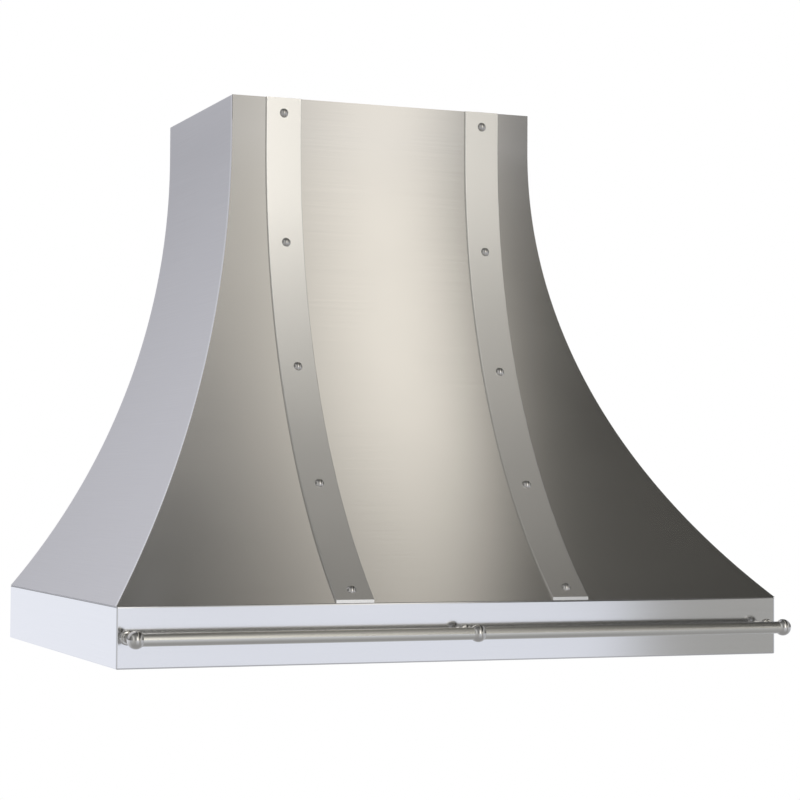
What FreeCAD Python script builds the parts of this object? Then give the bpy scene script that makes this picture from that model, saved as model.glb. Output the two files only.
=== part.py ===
import FreeCAD, Part
import math
import os

from FreeCAD import Vector

# A wall-mounted canopy range hood in brushed stainless steel. The wall is the plane y = 0, the front
# faces -Y, +X is to the viewer's right, and z = 0 is the lower rim. All lengths are in millimetres.

# Overall sizes
hood_width = 914.4
hood_depth = 609.6
hood_height = 762.0
apron_height = 76.2
throat_width = 448.0
throat_depth = 312.0
bend_drop = 52.0
sheet = 1.5

# Fits shared by many pieces
overrun = 5.0
seam_gap = 0.2
running_gap = 0.05
rest_gap = 0.3

# Apron
apron_flange = 20.0
apron_lip = 18.0
apron_corner = 2.0

# Straps and their dome-headed rivets
strap_inset = 74.0
strap_width = 50.8
strap_thickness = 3.2
rivet_count = 5
rivet_end_margin = 21.5
rivet_head_radius = 6.35
rivet_head_height = 4.4
rivet_shank_radius = 2.4
rivet_hole_gap = 0.1
rivet_tail_radius = 3.6
rivet_tail_height = 1.5
rivet_seat_gap = 0.05

# Utensil rail
rail_radius = 7.9375
rail_wall = 1.5
rail_standoff = 42.0
rail_height = 38.1
rail_post_inset = 13.2
rail_ball_radius = 11.0
rail_stem_radius = 4.8
rail_rosette_radius = 9.0
rail_rosette_height = 4.0
rail_stud_radius = 3.0
rail_stud_length = 9.0
rail_nut_radius = 5.8
rail_nut_height = 5.0

# Back panel and its wall-fixing holes
wall_hole_radius = 4.5
wall_hole_margin = 20.8
wall_hole_drop = 102.0
wall_hole_rise = 360.0

# Recessed top panel and duct collar
top_panel_drop = 72.0
top_flange = 18.0
duct_hole_radius = 99.0
collar_radius = 101.0
collar_wall = 1.0
collar_height = 60.5
collar_flange_radius = 116.0
collar_flange = 1.5
collar_screw_count = 8
collar_screw_radius = 2.0
collar_screw_head_radius = 3.6
collar_screw_head = 2.2
collar_screw_length = 8.0

# Backdraft damper
damper_rod_lift = 22.0
damper_rod_radius = 2.5
damper_rod_setback = 0.2
damper_knuckle_radius = 4.2
damper_knuckle_count = 4
damper_flap = 1.0
damper_flap_gap = 1.0
damper_plate_gap = 0.5
damper_bead_width = 3.0
damper_bead_height = 2.0

# Blower
blower_wall = 1.0
blower_drop = 110.0
motor_radius = 58.0
motor_length = 90.0
motor_bell_radius = 40.0
motor_bell_length = 5.0
motor_boss_radius = 12.0
motor_boss_length = 1.4
motor_rib_count = 18
motor_rib_height = 3.0
motor_rib_width = 3.0
shaft_radius = 4.0
shaft_overhang = 6.0
shaft_press_gap = 0.02
housing_inner = 52.0
housing_width = 88.0
scroll_start = 84.0
scroll_step = 10.0
inlet_radius = 60.0
inlet_lip_height = 8.0
motor_side_hole = 16.0
wheel_radius = 76.0
wheel_side_gap = 8.0
wheel_disc = 1.5
wheel_ring = 4.0
wheel_hub_radius = 14.0
wheel_hub_length = 26.0
blade_count = 28
blade_inner = 61.0
blade_outer = 74.6
blade_sweep_degrees = 11.0
blade_sagitta = 2.6
blade_thickness = 1.0
plenum_height = 35.0
plenum_side_margin = 2.0
bracket_band = 3.0
bracket_width = 30.0
bracket_leg_half = 30.0
bracket_leg = 3.0
bracket_foot_half = 45.0

# Liner pan under the canopy
liner_height = 48.0
liner_sheet = 1.2
liner_flange = 14.0

# Baffle filters
filter_count = 3
filter_side_margin = 31.2
filter_spacing = 14.0
filter_front_margin = 161.6
filter_thickness = 20.0
filter_rear = 48.0
filter_gap = 3.0
filter_wall = 1.2
filter_flange = 14.0
filter_pivot_inset = 8.0
filter_swing_gap = 1.5
filter_pin_radius = 2.5
filter_pin_bite = 2.8
hanger_thickness = 6.0
hanger_half_length = 10.0
hanger_head = 9.0
baffle_width = 28.0
baffle_side_margin = 7.0
baffle_leg = 10.0
baffle_sheet = 0.8
baffle_count = 7
pull_side_margin = 65.0
pull_stem_radius = 3.0
pull_stem_length = 8.0
pull_head_radius = 8.0
pull_head_length = 9.0
pull_edge = 2.5
catch_half_width = 12.0
catch_thickness = 3.6
catch_reach = 8.0
catch_setback = 5.0
catch_foot = 12.0

# Lamps
lamp_side_margin = 157.2
lamp_front_margin = 79.6
lamp_hole_radius = 38.0
lamp_bezel_radius = 46.0
lamp_bezel_opening = 33.0
lamp_bezel_height = 3.0
lamp_bezel_edge = 1.2
lamp_lens_radius = 36.5
lamp_lens_height = 3.0
lamp_can_radius = 40.0
lamp_can_wall = 1.0
lamp_can_height = 52.0
lamp_can_flange = 7.0
lamp_reflector_radius = 25.0
lamp_reflector_neck = 9.0
lamp_reflector_height = 28.0
lamp_reflector_lift = 9.0
lamp_dish_share = 0.6
lamp_socket_radius = 14.0

# Rotary controls
control_offset = 55.0
control_front_margin = 69.6
control_hole_radius = 5.0
control_shaft_radius = 3.0
control_bushing_radius = 4.6
control_case_half = 15.0
control_case_height = 22.0
control_case_floor = 3.0
knob_radius = 16.0
knob_height = 17.0
knob_gap = 1.0
knob_skirt_height = 5.0
knob_grip_radius = 13.0
knob_grip_half = 4.0
knob_edge = 1.2
knob_pointer_half = 0.8
knob_pointer_depth = 0.6
knob_bore_depth = 11.0

# Wiring box
box_offset = 140.0
box_half_width = 50.0
box_drop = 342.0
box_tall = 80.0
box_deep = 40.0
box_wall = 1.2
supply_hole_radius = 11.0
box_cover_screw_radius = 2.5
box_cover_screw_head = 2.0
box_cover_screw_margin = 8.0

# Worked-out sizes
half_width = hood_width / 2
half_throat = throat_width / 2
bend_height = hood_height - bend_drop
rise = bend_height - apron_height
side_spread = half_width - half_throat
front_spread = hood_depth - throat_depth
side_radius = (side_spread**2 + rise**2) / (2 * side_spread)
front_radius = (front_spread**2 + rise**2) / (2 * front_spread)
straight_run = bend_drop
strap_offset = half_throat - strap_inset
strap_run = straight_run + front_radius * math.asin(rise / front_radius)
rivet_pitch = (strap_run - 2 * rivet_end_margin) / (rivet_count - 1)
rivet_seat = strap_thickness + rivet_seat_gap
rivet_hole_radius = rivet_shank_radius + rivet_hole_gap
wall_hole_high = hood_height - wall_hole_drop
wall_hole_offset = half_throat - wall_hole_margin
inner_half = half_width - sheet - seam_gap
inner_front = hood_depth - sheet - seam_gap
inner_back = sheet + seam_gap
panel_inset = sheet + seam_gap
rail_front = hood_depth + rail_standoff
rail_post_offset = half_width - rail_post_inset
liner_top = liner_height + liner_sheet
filter_pitch = (hood_width - 2 * filter_side_margin) / filter_count
filter_width = filter_pitch - filter_spacing
filter_depth = hood_depth - filter_rear - filter_front_margin
baffle_pitch = (filter_width - 2 * baffle_side_margin - baffle_width) / (baffle_count - 1)
pull_spread = filter_width / 2 - pull_side_margin
lamp_offset = half_width - lamp_side_margin
lamp_forward = hood_depth - lamp_front_margin
control_forward = hood_depth - control_front_margin
filter_top = liner_height + filter_thickness
filter_front = filter_rear + filter_depth
pivot_depth = filter_rear + filter_pivot_inset
pivot_height = liner_height + filter_thickness / 2
swing_room = math.hypot(filter_pivot_inset, filter_thickness / 2) + filter_swing_gap
filter_pin_end = filter_pitch / 2 - hanger_thickness / 2 + filter_pin_bite
filter_names = ["left", "center", "right"]
duct_depth = throat_depth / 2
top_panel_height = hood_height - top_panel_drop
plenum_floor_height = top_panel_height - plenum_height
blower_axis_height = plenum_floor_height - blower_drop
box_low = hood_height - box_drop - box_tall
top_panel_top = top_panel_height + sheet
damper_height = top_panel_top + damper_rod_lift
collar_inner = collar_radius - collar_wall
flap_radius = collar_inner - damper_flap_gap
housing_outer = housing_inner + housing_width
wheel_inner_end = housing_inner + wheel_side_gap
wheel_outer_end = housing_outer - wheel_side_gap
scroll_front = duct_depth + scroll_start + 3 * scroll_step
lamp_can_top = liner_top + lamp_can_height


def block(x0, x1, y0, y1, z0, z1):
    """A box between two corners."""
    return Part.makeBox(x1 - x0, y1 - y0, z1 - z0, Vector(x0, y0, z0))


def rod(radius, start, end):
    """A round bar from one point to another."""
    run = end - start
    return Part.makeCylinder(radius, run.Length, start, run)


def tube(outer, inner, start, end):
    """A round bar with a bore right through it."""
    return rod(outer, start, end).cut(rod(inner, start, end))


def polygon(points):
    """A flat face with straight sides through the given corners."""
    return Part.Face(Part.makePolygon(points + points[:1]))


def join(pieces):
    """One solid out of pieces that overlap or share faces."""
    return pieces[0].multiFuse(pieces[1:]).removeSplitter()


def mirrored(shape):
    """The same piece on the other side of the hood's middle plane."""
    return shape.mirror(Vector(0, 0, 0), Vector(1, 0, 0))


def save(name, *solids):
    """Writes one node, which may hold several like pieces."""
    shape = solids[0] if len(solids) == 1 else Part.makeCompound(list(solids))
    shape.exportStep(os.path.join("parts", name + ".step"))


def reach(top, radius, inset, z):
    """How far a curved sheet's surface stands out at height z, moved inward by inset."""
    drop = max(bend_height - z, 0)
    return top + radius - math.sqrt((radius + inset) ** 2 - drop**2)


def curved_edge(place, top, radius, inset):
    """The edges of a sheet's surface: the concave arc from below the apron's top, then straight up."""
    low = apron_height - overrun
    heights = [low, (low + bend_height) / 2, bend_height]
    start, middle, bend = [place(reach(top, radius, inset, z), z) for z in heights]
    end = place(reach(top, radius, inset, bend_height), hood_height + overrun)
    return [Part.Arc(start, middle, bend).toShape(), Part.LineSegment(bend, end).toShape()]


def closed_face(edges_up, edges_down):
    """The flat face between two runs of edges, both listed from the bottom upwards."""
    bottom = Part.LineSegment(edges_down[0].Vertexes[0].Point, edges_up[0].Vertexes[0].Point)
    top = Part.LineSegment(edges_up[-1].Vertexes[-1].Point, edges_down[-1].Vertexes[-1].Point)
    edges = edges_up + edges_down + [top.toShape(), bottom.toShape()]
    return Part.Face(Part.Wire(Part.__sortEdges__(edges)))


def on_right(out, z):
    return Vector(out, 0, z)


def on_left(out, z):
    return Vector(-out, 0, z)


def on_front(out, z):
    return Vector(0, -out, z)


def side_prism(inset):
    """All the space between the two side sheets, from in front of the hood to behind the wall."""
    face = closed_face(
        curved_edge(on_right, half_throat, side_radius, inset),
        curved_edge(on_left, half_throat, side_radius, inset),
    )
    face.translate(Vector(0, -hood_depth - overrun, 0))
    return face.extrude(Vector(0, hood_depth + 2 * overrun, 0))


def front_space(inset):
    """All the space behind the front sheet's surface, as wide as the hood and back past the wall."""
    edges = curved_edge(on_front, throat_depth, front_radius, inset)
    low = edges[0].Vertexes[0].Point
    high = edges[-1].Vertexes[-1].Point
    back = [Vector(0, overrun, high.z), Vector(0, overrun, low.z)]
    corners = [high] + back + [low]
    lines = [Part.LineSegment(a, b).toShape() for a, b in zip(corners, corners[1:])]
    face = Part.Face(Part.Wire(Part.__sortEdges__(edges + lines)))
    face.translate(Vector(-half_width - overrun, 0, 0))
    return face.extrude(Vector(hood_width + 2 * overrun, 0, 0))


def front_band(outer_inset, inner_inset, x0, x1):
    """A sheet bent to the front's curve, between two insets and two widths."""
    face = closed_face(
        curved_edge(on_front, throat_depth, front_radius, outer_inset),
        curved_edge(on_front, throat_depth, front_radius, inner_inset),
    )
    face.translate(Vector(x0, 0, 0))
    return face.extrude(Vector(x1 - x0, 0, 0))


def side_band(outer_inset, inner_inset):
    """A sheet bent to the right side's curve, from in front of the hood to the wall."""
    face = closed_face(
        curved_edge(on_right, half_throat, side_radius, outer_inset),
        curved_edge(on_right, half_throat, side_radius, inner_inset),
    )
    face.translate(Vector(0, -hood_depth - overrun, 0))
    return face.extrude(Vector(0, hood_depth + overrun, 0))


def canopy_zone():
    """The box that the canopy's sheets are cut to."""
    wide = half_width + overrun
    return block(-wide, wide, -hood_depth - overrun, 0, apron_height, hood_height)


def strap_place(run):
    """The spot on the front sheet a given run below the top rim, turned square to the sheet."""
    angle = max(run - straight_run, 0) / front_radius
    drop = min(run, straight_run) + front_radius * math.sin(angle)
    out = throat_depth + front_radius * (1 - math.cos(angle))
    normal = Vector(0, -math.cos(angle), math.sin(angle))
    return Vector(0, -out, hood_height - drop), FreeCAD.Rotation(Vector(0, 0, 1), normal)


def at_rivets(shape, x):
    """Copies of a piece at every rivet of the strap at x."""
    copies = []
    for i in range(rivet_count):
        spot, turn = strap_place(rivet_end_margin + i * rivet_pitch)
        copy = shape.copy()
        copy.Placement = FreeCAD.Placement(spot + Vector(x, 0, 0), turn)
        copies.append(copy)
    return copies


def rivet():
    """A dome-headed rivet along +Z, with z = 0 on the front sheet and its tail behind the sheet."""
    dome = (rivet_head_radius**2 + rivet_head_height**2) / (2 * rivet_head_height)
    ball = Part.makeSphere(dome, Vector(0, 0, rivet_seat + rivet_head_height - dome))
    head = ball.common(block(-dome, dome, -dome, dome, rivet_seat, rivet_seat + dome))
    under = -sheet - rivet_seat_gap
    shank = rod(rivet_shank_radius, Vector(0, 0, under), Vector(0, 0, rivet_seat))
    tail = rod(rivet_tail_radius, Vector(0, 0, under - rivet_tail_height), Vector(0, 0, under))
    return join([head, shank, tail])


def rivet_hole():
    """The hole that a rivet's shank passes through."""
    return rod(rivet_hole_radius, Vector(0, 0, -sheet - overrun), Vector(0, 0, strap_thickness + overrun))


def front_panel():
    """The curved front sheet, mitred to the side sheets' curve and drilled for the rivets."""
    panel = front_band(0, sheet, -half_width - overrun, half_width + overrun)
    panel = panel.common(side_prism(0)).common(canopy_zone())
    return panel.cut(at_rivets(rivet_hole(), strap_offset) + at_rivets(rivet_hole(), -strap_offset))


def right_side_panel():
    """The curved side sheet, butted against the back of the front sheet."""
    return side_band(0, sheet).common(front_space(panel_inset)).common(canopy_zone())


def back_panel():
    """The flat back sheet between the sides, with four wall-fixing holes and the supply's way in."""
    zone = block(-half_width, half_width, -sheet, 0, apron_height, hood_height)
    upper = side_prism(panel_inset).common(zone)
    lower = block(-inner_half, inner_half, -sheet, 0, 0, apron_height)
    holes = [
        rod(wall_hole_radius, Vector(x, -sheet - overrun, z), Vector(x, overrun, z))
        for x in (-wall_hole_offset, wall_hole_offset)
        for z in (wall_hole_high - wall_hole_rise, wall_hole_high)
    ]
    return join([lower, upper]).cut(holes + [supply_hole()])


def apron():
    """The straight band round the bottom, bent from one sheet with a top flange and a bottom lip."""
    walls = block(-half_width, half_width, -hood_depth, 0, 0, apron_height)
    room = block(
        -half_width + sheet,
        half_width - sheet,
        -hood_depth + sheet,
        overrun,
        -overrun,
        apron_height + overrun,
    )
    walls = walls.cut(room)
    rims = []
    for width, z in ((apron_flange, apron_height - sheet), (apron_lip, 0)):
        rim = block(-half_width, half_width, -hood_depth, -inner_back, z, z + sheet)
        side = half_width - width
        hole = block(-side, side, -hood_depth + width, overrun, z - overrun, z + sheet + overrun)
        rims.append(rim.cut(hole))
    band = join([walls] + rims)
    corners = [
        e
        for e in band.Edges
        if all(abs(abs(v.X) - half_width) < seam_gap and abs(v.Y + hood_depth) < seam_gap for v in e.Vertexes)
        and abs(e.Vertexes[0].Z - e.Vertexes[-1].Z) > apron_height / 2
    ]
    band = band.makeFillet(apron_corner, corners)
    holes = [
        rod(rail_stud_radius + rivet_hole_gap, Vector(x, -hood_depth - overrun, rail_height),
            Vector(x, -hood_depth + sheet + overrun, rail_height))
        for x in (-rail_post_offset, 0, rail_post_offset)
    ]
    return band.cut(holes)


def strap(x):
    """A flat bar rolled to the front's curve and trimmed flush with the apron's face."""
    bar = front_band(-strap_thickness, 0, x - strap_width / 2, x + strap_width / 2)
    bar = bar.common(block(-half_width, half_width, -hood_depth, 0, apron_height, hood_height))
    return bar.cut(at_rivets(rivet_hole(), x))


def rail_tube():
    """The rail itself, whose ends sit in the end balls."""
    start = Vector(-rail_post_offset, -rail_front, rail_height)
    end = Vector(rail_post_offset, -rail_front, rail_height)
    return tube(rail_radius, rail_radius - rail_wall, start, end)


def rail_post(x, from_x, to_x):
    """A ball on a stem with a rosette and a stud, bored for the rail between two places along it."""
    centre = Vector(x, -rail_front, rail_height)
    face = Vector(x, -hood_depth, rail_height)
    ball = Part.makeSphere(rail_ball_radius, centre)
    stem = rod(rail_stem_radius, centre, face)
    rosette = rod(rail_rosette_radius, face - Vector(0, rail_rosette_height, 0), face)
    stud = rod(rail_stud_radius, face, face + Vector(0, rail_stud_length, 0))
    bore = rod(
        rail_radius + running_gap,
        Vector(from_x, -rail_front, rail_height),
        Vector(to_x, -rail_front, rail_height),
    )
    return join([ball, stem, rosette, stud]).cut(bore)


def rail_nut(x):
    """The hexagon nut that holds a post from inside the apron."""
    y = -hood_depth + sheet
    corners = [
        Vector(x + rail_nut_radius * math.cos(a), y, rail_height + rail_nut_radius * math.sin(a))
        for a in (k * math.pi / 3 for k in range(6))
    ]
    nut = polygon(corners).extrude(Vector(0, rail_nut_height, 0))
    return nut.cut(
        rod(rail_stud_radius + running_gap, Vector(x, y - overrun, rail_height),
            Vector(x, y + rail_nut_height + overrun, rail_height))
    )


def top_panel():
    """The tray that closes the canopy below its top rim, with the duct hole."""
    wide = half_width + overrun
    zone = block(-wide, wide, -hood_depth, -inner_back, top_panel_height, top_panel_top + top_flange)
    tray = side_prism(panel_inset).common(front_space(panel_inset)).common(zone)
    room = block(-wide, wide, -hood_depth, -inner_back - sheet, top_panel_top, hood_height)
    hollow = side_prism(panel_inset + sheet).common(front_space(panel_inset + sheet)).common(room)
    hole = rod(
        duct_hole_radius,
        Vector(0, -duct_depth, top_panel_height - overrun),
        Vector(0, -duct_depth, top_panel_top + overrun),
    )
    return tray.cut([hollow, hole] + collar_screw_holes())


def collar_screw_spots():
    """Where the collar's screws stand, on the middle of its flange."""
    spread = (collar_radius + collar_flange_radius) / 2
    turns = [(k + 1 / 2) * 2 * math.pi / collar_screw_count for k in range(collar_screw_count)]
    return [Vector(spread * math.cos(a), spread * math.sin(a) - duct_depth, 0) for a in turns]


def collar_screw_holes():
    """The holes for the collar's screws, through its flange and the top panel."""
    low = Vector(0, 0, top_panel_height - overrun)
    high = Vector(0, 0, top_panel_top + overrun)
    return [rod(collar_screw_radius + running_gap, spot + low, spot + high) for spot in collar_screw_spots()]


def collar_screws():
    """Pan-headed screws that hold the collar's flange down."""
    seat = Vector(0, 0, top_panel_top + collar_flange)
    screws = []
    for spot in collar_screw_spots():
        head = rod(collar_screw_head_radius, spot + seat, spot + seat + Vector(0, 0, collar_screw_head))
        head = head.makeFillet(collar_screw_head / 2, [head.Edges[0]])
        tip = spot + seat - Vector(0, 0, collar_screw_length)
        screws.append(join([head, rod(collar_screw_radius, tip, spot + seat)]))
    return screws


def duct_collar():
    """The round spigot that a duct slides over, with its damper bead and rod holes."""
    middle = Vector(0, -duct_depth, 0)
    base = middle + Vector(0, 0, top_panel_top + collar_flange)
    wall = tube(collar_radius, collar_inner, base, base + Vector(0, 0, collar_height))
    bead_top = middle + Vector(0, 0, damper_height - damper_flap / 2 - rest_gap)
    bead = tube(collar_inner + collar_wall / 2, collar_inner - damper_bead_width,
                bead_top - Vector(0, 0, damper_bead_height), bead_top)
    across = Vector(0, collar_radius + overrun, 0)
    axle = middle + Vector(0, 0, damper_height)
    hole = rod(damper_rod_radius + running_gap, axle - across, axle + across)
    return join([wall, bead]).cut(hole)


def collar_flange_ring():
    """The flat ring that the collar is welded on, screwed down on the top panel."""
    base = Vector(0, -duct_depth, top_panel_top)
    ring = tube(collar_flange_radius, collar_inner, base, base + Vector(0, 0, collar_flange))
    return ring.cut(collar_screw_holes())


def damper_rod():
    """The rod across the collar that both flaps hang on, its ends flush with the collar."""
    across = Vector(0, collar_radius - damper_rod_setback, 0)
    axle = Vector(0, -duct_depth, damper_height)
    return rod(damper_rod_radius, axle - across, axle + across)


def damper_flap_half(first):
    """The left half-round flap, with every other knuckle on the rod, counted from first."""
    axle = Vector(0, -duct_depth, damper_height)
    under = axle - Vector(0, 0, damper_flap / 2)
    over = axle + Vector(0, 0, damper_flap / 2)
    edge = damper_knuckle_radius + damper_plate_gap
    disc = rod(flap_radius, under, over)
    far = flap_radius + overrun
    plate = disc.common(block(-far, -edge, -duct_depth - far, -duct_depth + far, under.z, over.z))
    span = 2 * (collar_inner - damper_bead_width - damper_flap_gap) / damper_knuckle_count
    pieces = [plate]
    for k in range(first, damper_knuckle_count, 2):
        y0 = -duct_depth + (k - damper_knuckle_count / 2) * span + damper_plate_gap
        y1 = y0 + span - 2 * damper_plate_gap
        pieces.append(rod(damper_knuckle_radius, Vector(0, y0, damper_height), Vector(0, y1, damper_height)))
        pieces.append(block(-edge - damper_flap, 0, y0, y1, under.z, over.z))
    across = Vector(0, far, 0)
    return join(pieces).cut(rod(damper_rod_radius + running_gap, axle - across, axle + across))


def outlet_plenum():
    """The box that gathers both blower outlets under the duct hole."""
    side = housing_outer + plenum_side_margin
    front = -scroll_front - plenum_side_margin - blower_wall
    back = -2 * duct_depth - front
    back = max(back, -duct_depth + duct_hole_radius + plenum_side_margin + blower_wall)
    back = min(back, -inner_back - plenum_side_margin)
    box = block(-side, side, front, back, plenum_floor_height, top_panel_height)
    room = block(
        -side + blower_wall, side - blower_wall, front + blower_wall, back - blower_wall,
        plenum_floor_height + blower_wall, top_panel_height + overrun,
    )
    ports = [outlet_port(1), outlet_port(-1)]
    return box.cut([room] + ports)


def outlet_port(side):
    """The opening between one scroll's outlet and the plenum."""
    xs = sorted([side * (housing_inner + blower_wall), side * (housing_outer - blower_wall)])
    return block(xs[0], xs[1], -scroll_front + blower_wall, -duct_depth - blower_wall,
                 plenum_floor_height - overrun, plenum_floor_height + blower_wall + overrun)


def scroll_face(inset, top):
    """A scroll's outline in three growing quarter-turns, then straight up to its outlet."""
    axis = Vector(0, -duct_depth, blower_axis_height)
    directions = [Vector(0, 0, 1), Vector(0, 1, 0), Vector(0, 0, -1), Vector(0, -1, 0)]
    centre = axis
    edges = []
    for k in range(3):
        radius = scroll_start + k * scroll_step - inset
        a, b = directions[k], directions[k + 1]
        middle = (a + b).normalize()
        edges.append(Part.Arc(centre + a * radius, centre + middle * radius, centre + b * radius).toShape())
        centre = centre - b * scroll_step
    start = edges[0].Vertexes[0].Point
    end = edges[-1].Vertexes[-1].Point
    lip = Vector(0, start.y - inset, start.z)
    corners = [end, Vector(0, end.y, top), Vector(0, lip.y, top), lip]
    corners += [start] if inset else []
    edges += [Part.LineSegment(p, q).toShape() for p, q in zip(corners, corners[1:])]
    return Part.Face(Part.Wire(Part.__sortEdges__(edges)))


def blower_housing():
    """The right scroll: a sheet shell with a lipped inlet outside and a hole for the motor boss inside."""
    outer = scroll_face(0, plenum_floor_height)
    outer.translate(Vector(housing_inner, 0, 0))
    shell = outer.extrude(Vector(housing_width, 0, 0))
    inner = scroll_face(blower_wall, plenum_floor_height + overrun)
    inner.translate(Vector(housing_inner + blower_wall, 0, 0))
    hollow = inner.extrude(Vector(housing_width - 2 * blower_wall, 0, 0))
    axis = Vector(0, -duct_depth, blower_axis_height)
    mouth = axis + Vector(housing_outer, 0, 0)
    inside = axis + Vector(housing_inner, 0, 0)
    wall = Vector(blower_wall, 0, 0)
    lip_end = mouth + Vector(inlet_lip_height, 0, 0)
    lip = tube(inlet_radius + blower_wall, inlet_radius, mouth - wall, lip_end)
    inlet = rod(inlet_radius, mouth - wall - wall, mouth + wall)
    boss = rod(motor_side_hole, inside - wall, inside + wall + wall)
    return join([shell.cut([hollow, inlet, boss]), lip])


def blade():
    """One forward-curved blade at the top of the wheel, along +X."""
    sweep = math.radians(blade_sweep_degrees)
    inner = Vector(0, 0, blade_inner)
    outer = Vector(0, blade_outer * math.sin(sweep), blade_outer * math.cos(sweep))
    chord = outer - inner
    normal = Vector(0, -chord.z, chord.y).normalize()
    bow = (inner + outer) / 2 + normal * blade_sagitta
    shift = normal * blade_thickness
    back = Part.Arc(inner, bow, outer).toShape()
    face = Part.Arc(inner + shift, bow + shift, outer + shift).toShape()
    ends = [Part.LineSegment(p, p + shift).toShape() for p in (inner, outer)]
    section = Part.Face(Part.Wire(Part.__sortEdges__([back, face] + ends)))
    return section.extrude(Vector(wheel_outer_end - wheel_inner_end, 0, 0))


def blower_wheel():
    """The right squirrel-cage wheel: a disc with a hub, a ring of curved blades and an end ring."""
    length = wheel_outer_end - wheel_inner_end
    centre = Vector(0, 0, 0)
    disc = rod(wheel_radius, centre, Vector(wheel_disc, 0, 0))
    hub = rod(wheel_hub_radius, centre, Vector(wheel_hub_length, 0, 0))
    ring_start = Vector(length - wheel_ring, 0, 0)
    ring = tube(wheel_radius, blade_outer - wheel_ring, ring_start, Vector(length, 0, 0))
    blades = []
    for k in range(blade_count):
        copy = blade()
        copy.rotate(centre, Vector(1, 0, 0), k * 360 / blade_count)
        blades.append(copy)
    bore = rod(shaft_radius + shaft_press_gap, Vector(-overrun, 0, 0), Vector(length, 0, 0))
    wheel = join([disc, hub, ring] + blades).cut(bore)
    wheel.translate(Vector(wheel_inner_end, -duct_depth, blower_axis_height))
    return wheel


def motor_shaft():
    """The double-ended shaft that carries both wheels."""
    end = wheel_inner_end + wheel_hub_length + shaft_overhang
    axis = Vector(0, -duct_depth, blower_axis_height)
    return rod(shaft_radius, axis - Vector(end, 0, 0), axis + Vector(end, 0, 0))


def blower_motor():
    """The motor's ribbed can with its two end bells and bearing bosses, bored for the shaft."""
    axis = Vector(0, -duct_depth, blower_axis_height)
    half = Vector(motor_length / 2, 0, 0)
    bell = Vector(motor_bell_length, 0, 0)
    boss = Vector(motor_boss_length, 0, 0)
    core = motor_radius - motor_rib_height
    pieces = [
        rod(core, axis - half, axis + half),
        rod(motor_bell_radius, axis - half - bell, axis + half + bell),
        rod(motor_boss_radius, axis - half - bell - boss, axis + half + bell + boss),
        rod(motor_radius, axis - Vector(bracket_width / 2, 0, 0), axis + Vector(bracket_width / 2, 0, 0)),
    ]
    rib = block(
        -motor_length / 2, motor_length / 2, -motor_rib_width / 2, motor_rib_width / 2,
        core - motor_rib_height, core + motor_rib_height / 2,
    )
    for k in range(motor_rib_count):
        copy = rib.copy()
        copy.rotate(Vector(0, 0, 0), Vector(1, 0, 0), (k + 1 / 2) * 360 / motor_rib_count)
        copy.translate(axis)
        pieces.append(copy)
    reach_out = half + bell + boss + Vector(overrun, 0, 0)
    return join(pieces).cut(rod(shaft_radius + running_gap, axis - reach_out, axis + reach_out))


def motor_bracket():
    """The band round the motor and the legs that hang it from the plenum's floor."""
    axis = Vector(0, -duct_depth, blower_axis_height)
    half = Vector(bracket_width / 2, 0, 0)
    bore = motor_radius + running_gap
    band = tube(bore + bracket_band, bore, axis - half, axis + half)
    foot = block(
        -half.x,
        half.x,
        -duct_depth - bracket_foot_half,
        -duct_depth + bracket_foot_half,
        plenum_floor_height - bracket_leg,
        plenum_floor_height,
    )
    low = blower_axis_height + math.sqrt((bore + bracket_band / 2) ** 2 - bracket_leg_half**2) - bracket_leg
    legs = []
    for side in (-1, 1):
        y = -duct_depth + side * bracket_leg_half
        edge = bracket_leg / 2
        legs.append(block(-half.x, half.x, y - edge, y + edge, low, plenum_floor_height))
    clear = rod(bore, axis - half - half, axis + half + half)
    return join([band, foot] + legs).cut(clear)


def filter_middle(k):
    """Where a filter stands across the hood."""
    return (k - (filter_count - 1) / 2) * filter_pitch


def liner():
    """The pan that closes the canopy's underside, with openings for filters, lamps and controls."""
    pan = block(-inner_half, inner_half, -inner_front, -inner_back, liner_height, liner_top + liner_flange)
    room = block(
        -inner_half + liner_sheet,
        inner_half - liner_sheet,
        -inner_front + liner_sheet,
        -inner_back - liner_sheet,
        liner_top,
        liner_top + liner_flange + overrun,
    )
    cuts = [room]
    for k in range(filter_count):
        half = filter_width / 2 + filter_gap
        cuts.append(
            block(filter_middle(k) - half, filter_middle(k) + half, -filter_front - filter_gap,
                  -pivot_depth + swing_room, liner_height - overrun, liner_top + overrun)
        )
    low = Vector(0, 0, liner_height - overrun)
    high = Vector(0, 0, liner_top + overrun)
    for spot in lamp_spots():
        cuts.append(rod(lamp_hole_radius, spot + low, spot + high))
    for spot in control_spots():
        cuts.append(rod(control_hole_radius, spot + low, spot + high))
    return pan.cut(cuts)


def filter_hangers():
    """The brackets on the liner that the filters' rear pins turn in."""
    hangers = []
    for k in range(filter_count + 1):
        x = filter_middle(k) - filter_pitch / 2
        body = block(
            x - hanger_thickness / 2, x + hanger_thickness / 2, -pivot_depth - hanger_half_length,
            -pivot_depth + hanger_half_length, liner_top, pivot_height + hanger_head,
        )
        bore = rod(
            filter_pin_radius + running_gap,
            Vector(x - hanger_thickness, -pivot_depth, pivot_height),
            Vector(x + hanger_thickness, -pivot_depth, pivot_height),
        )
        hangers.append(body.cut(bore))
    return hangers


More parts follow.
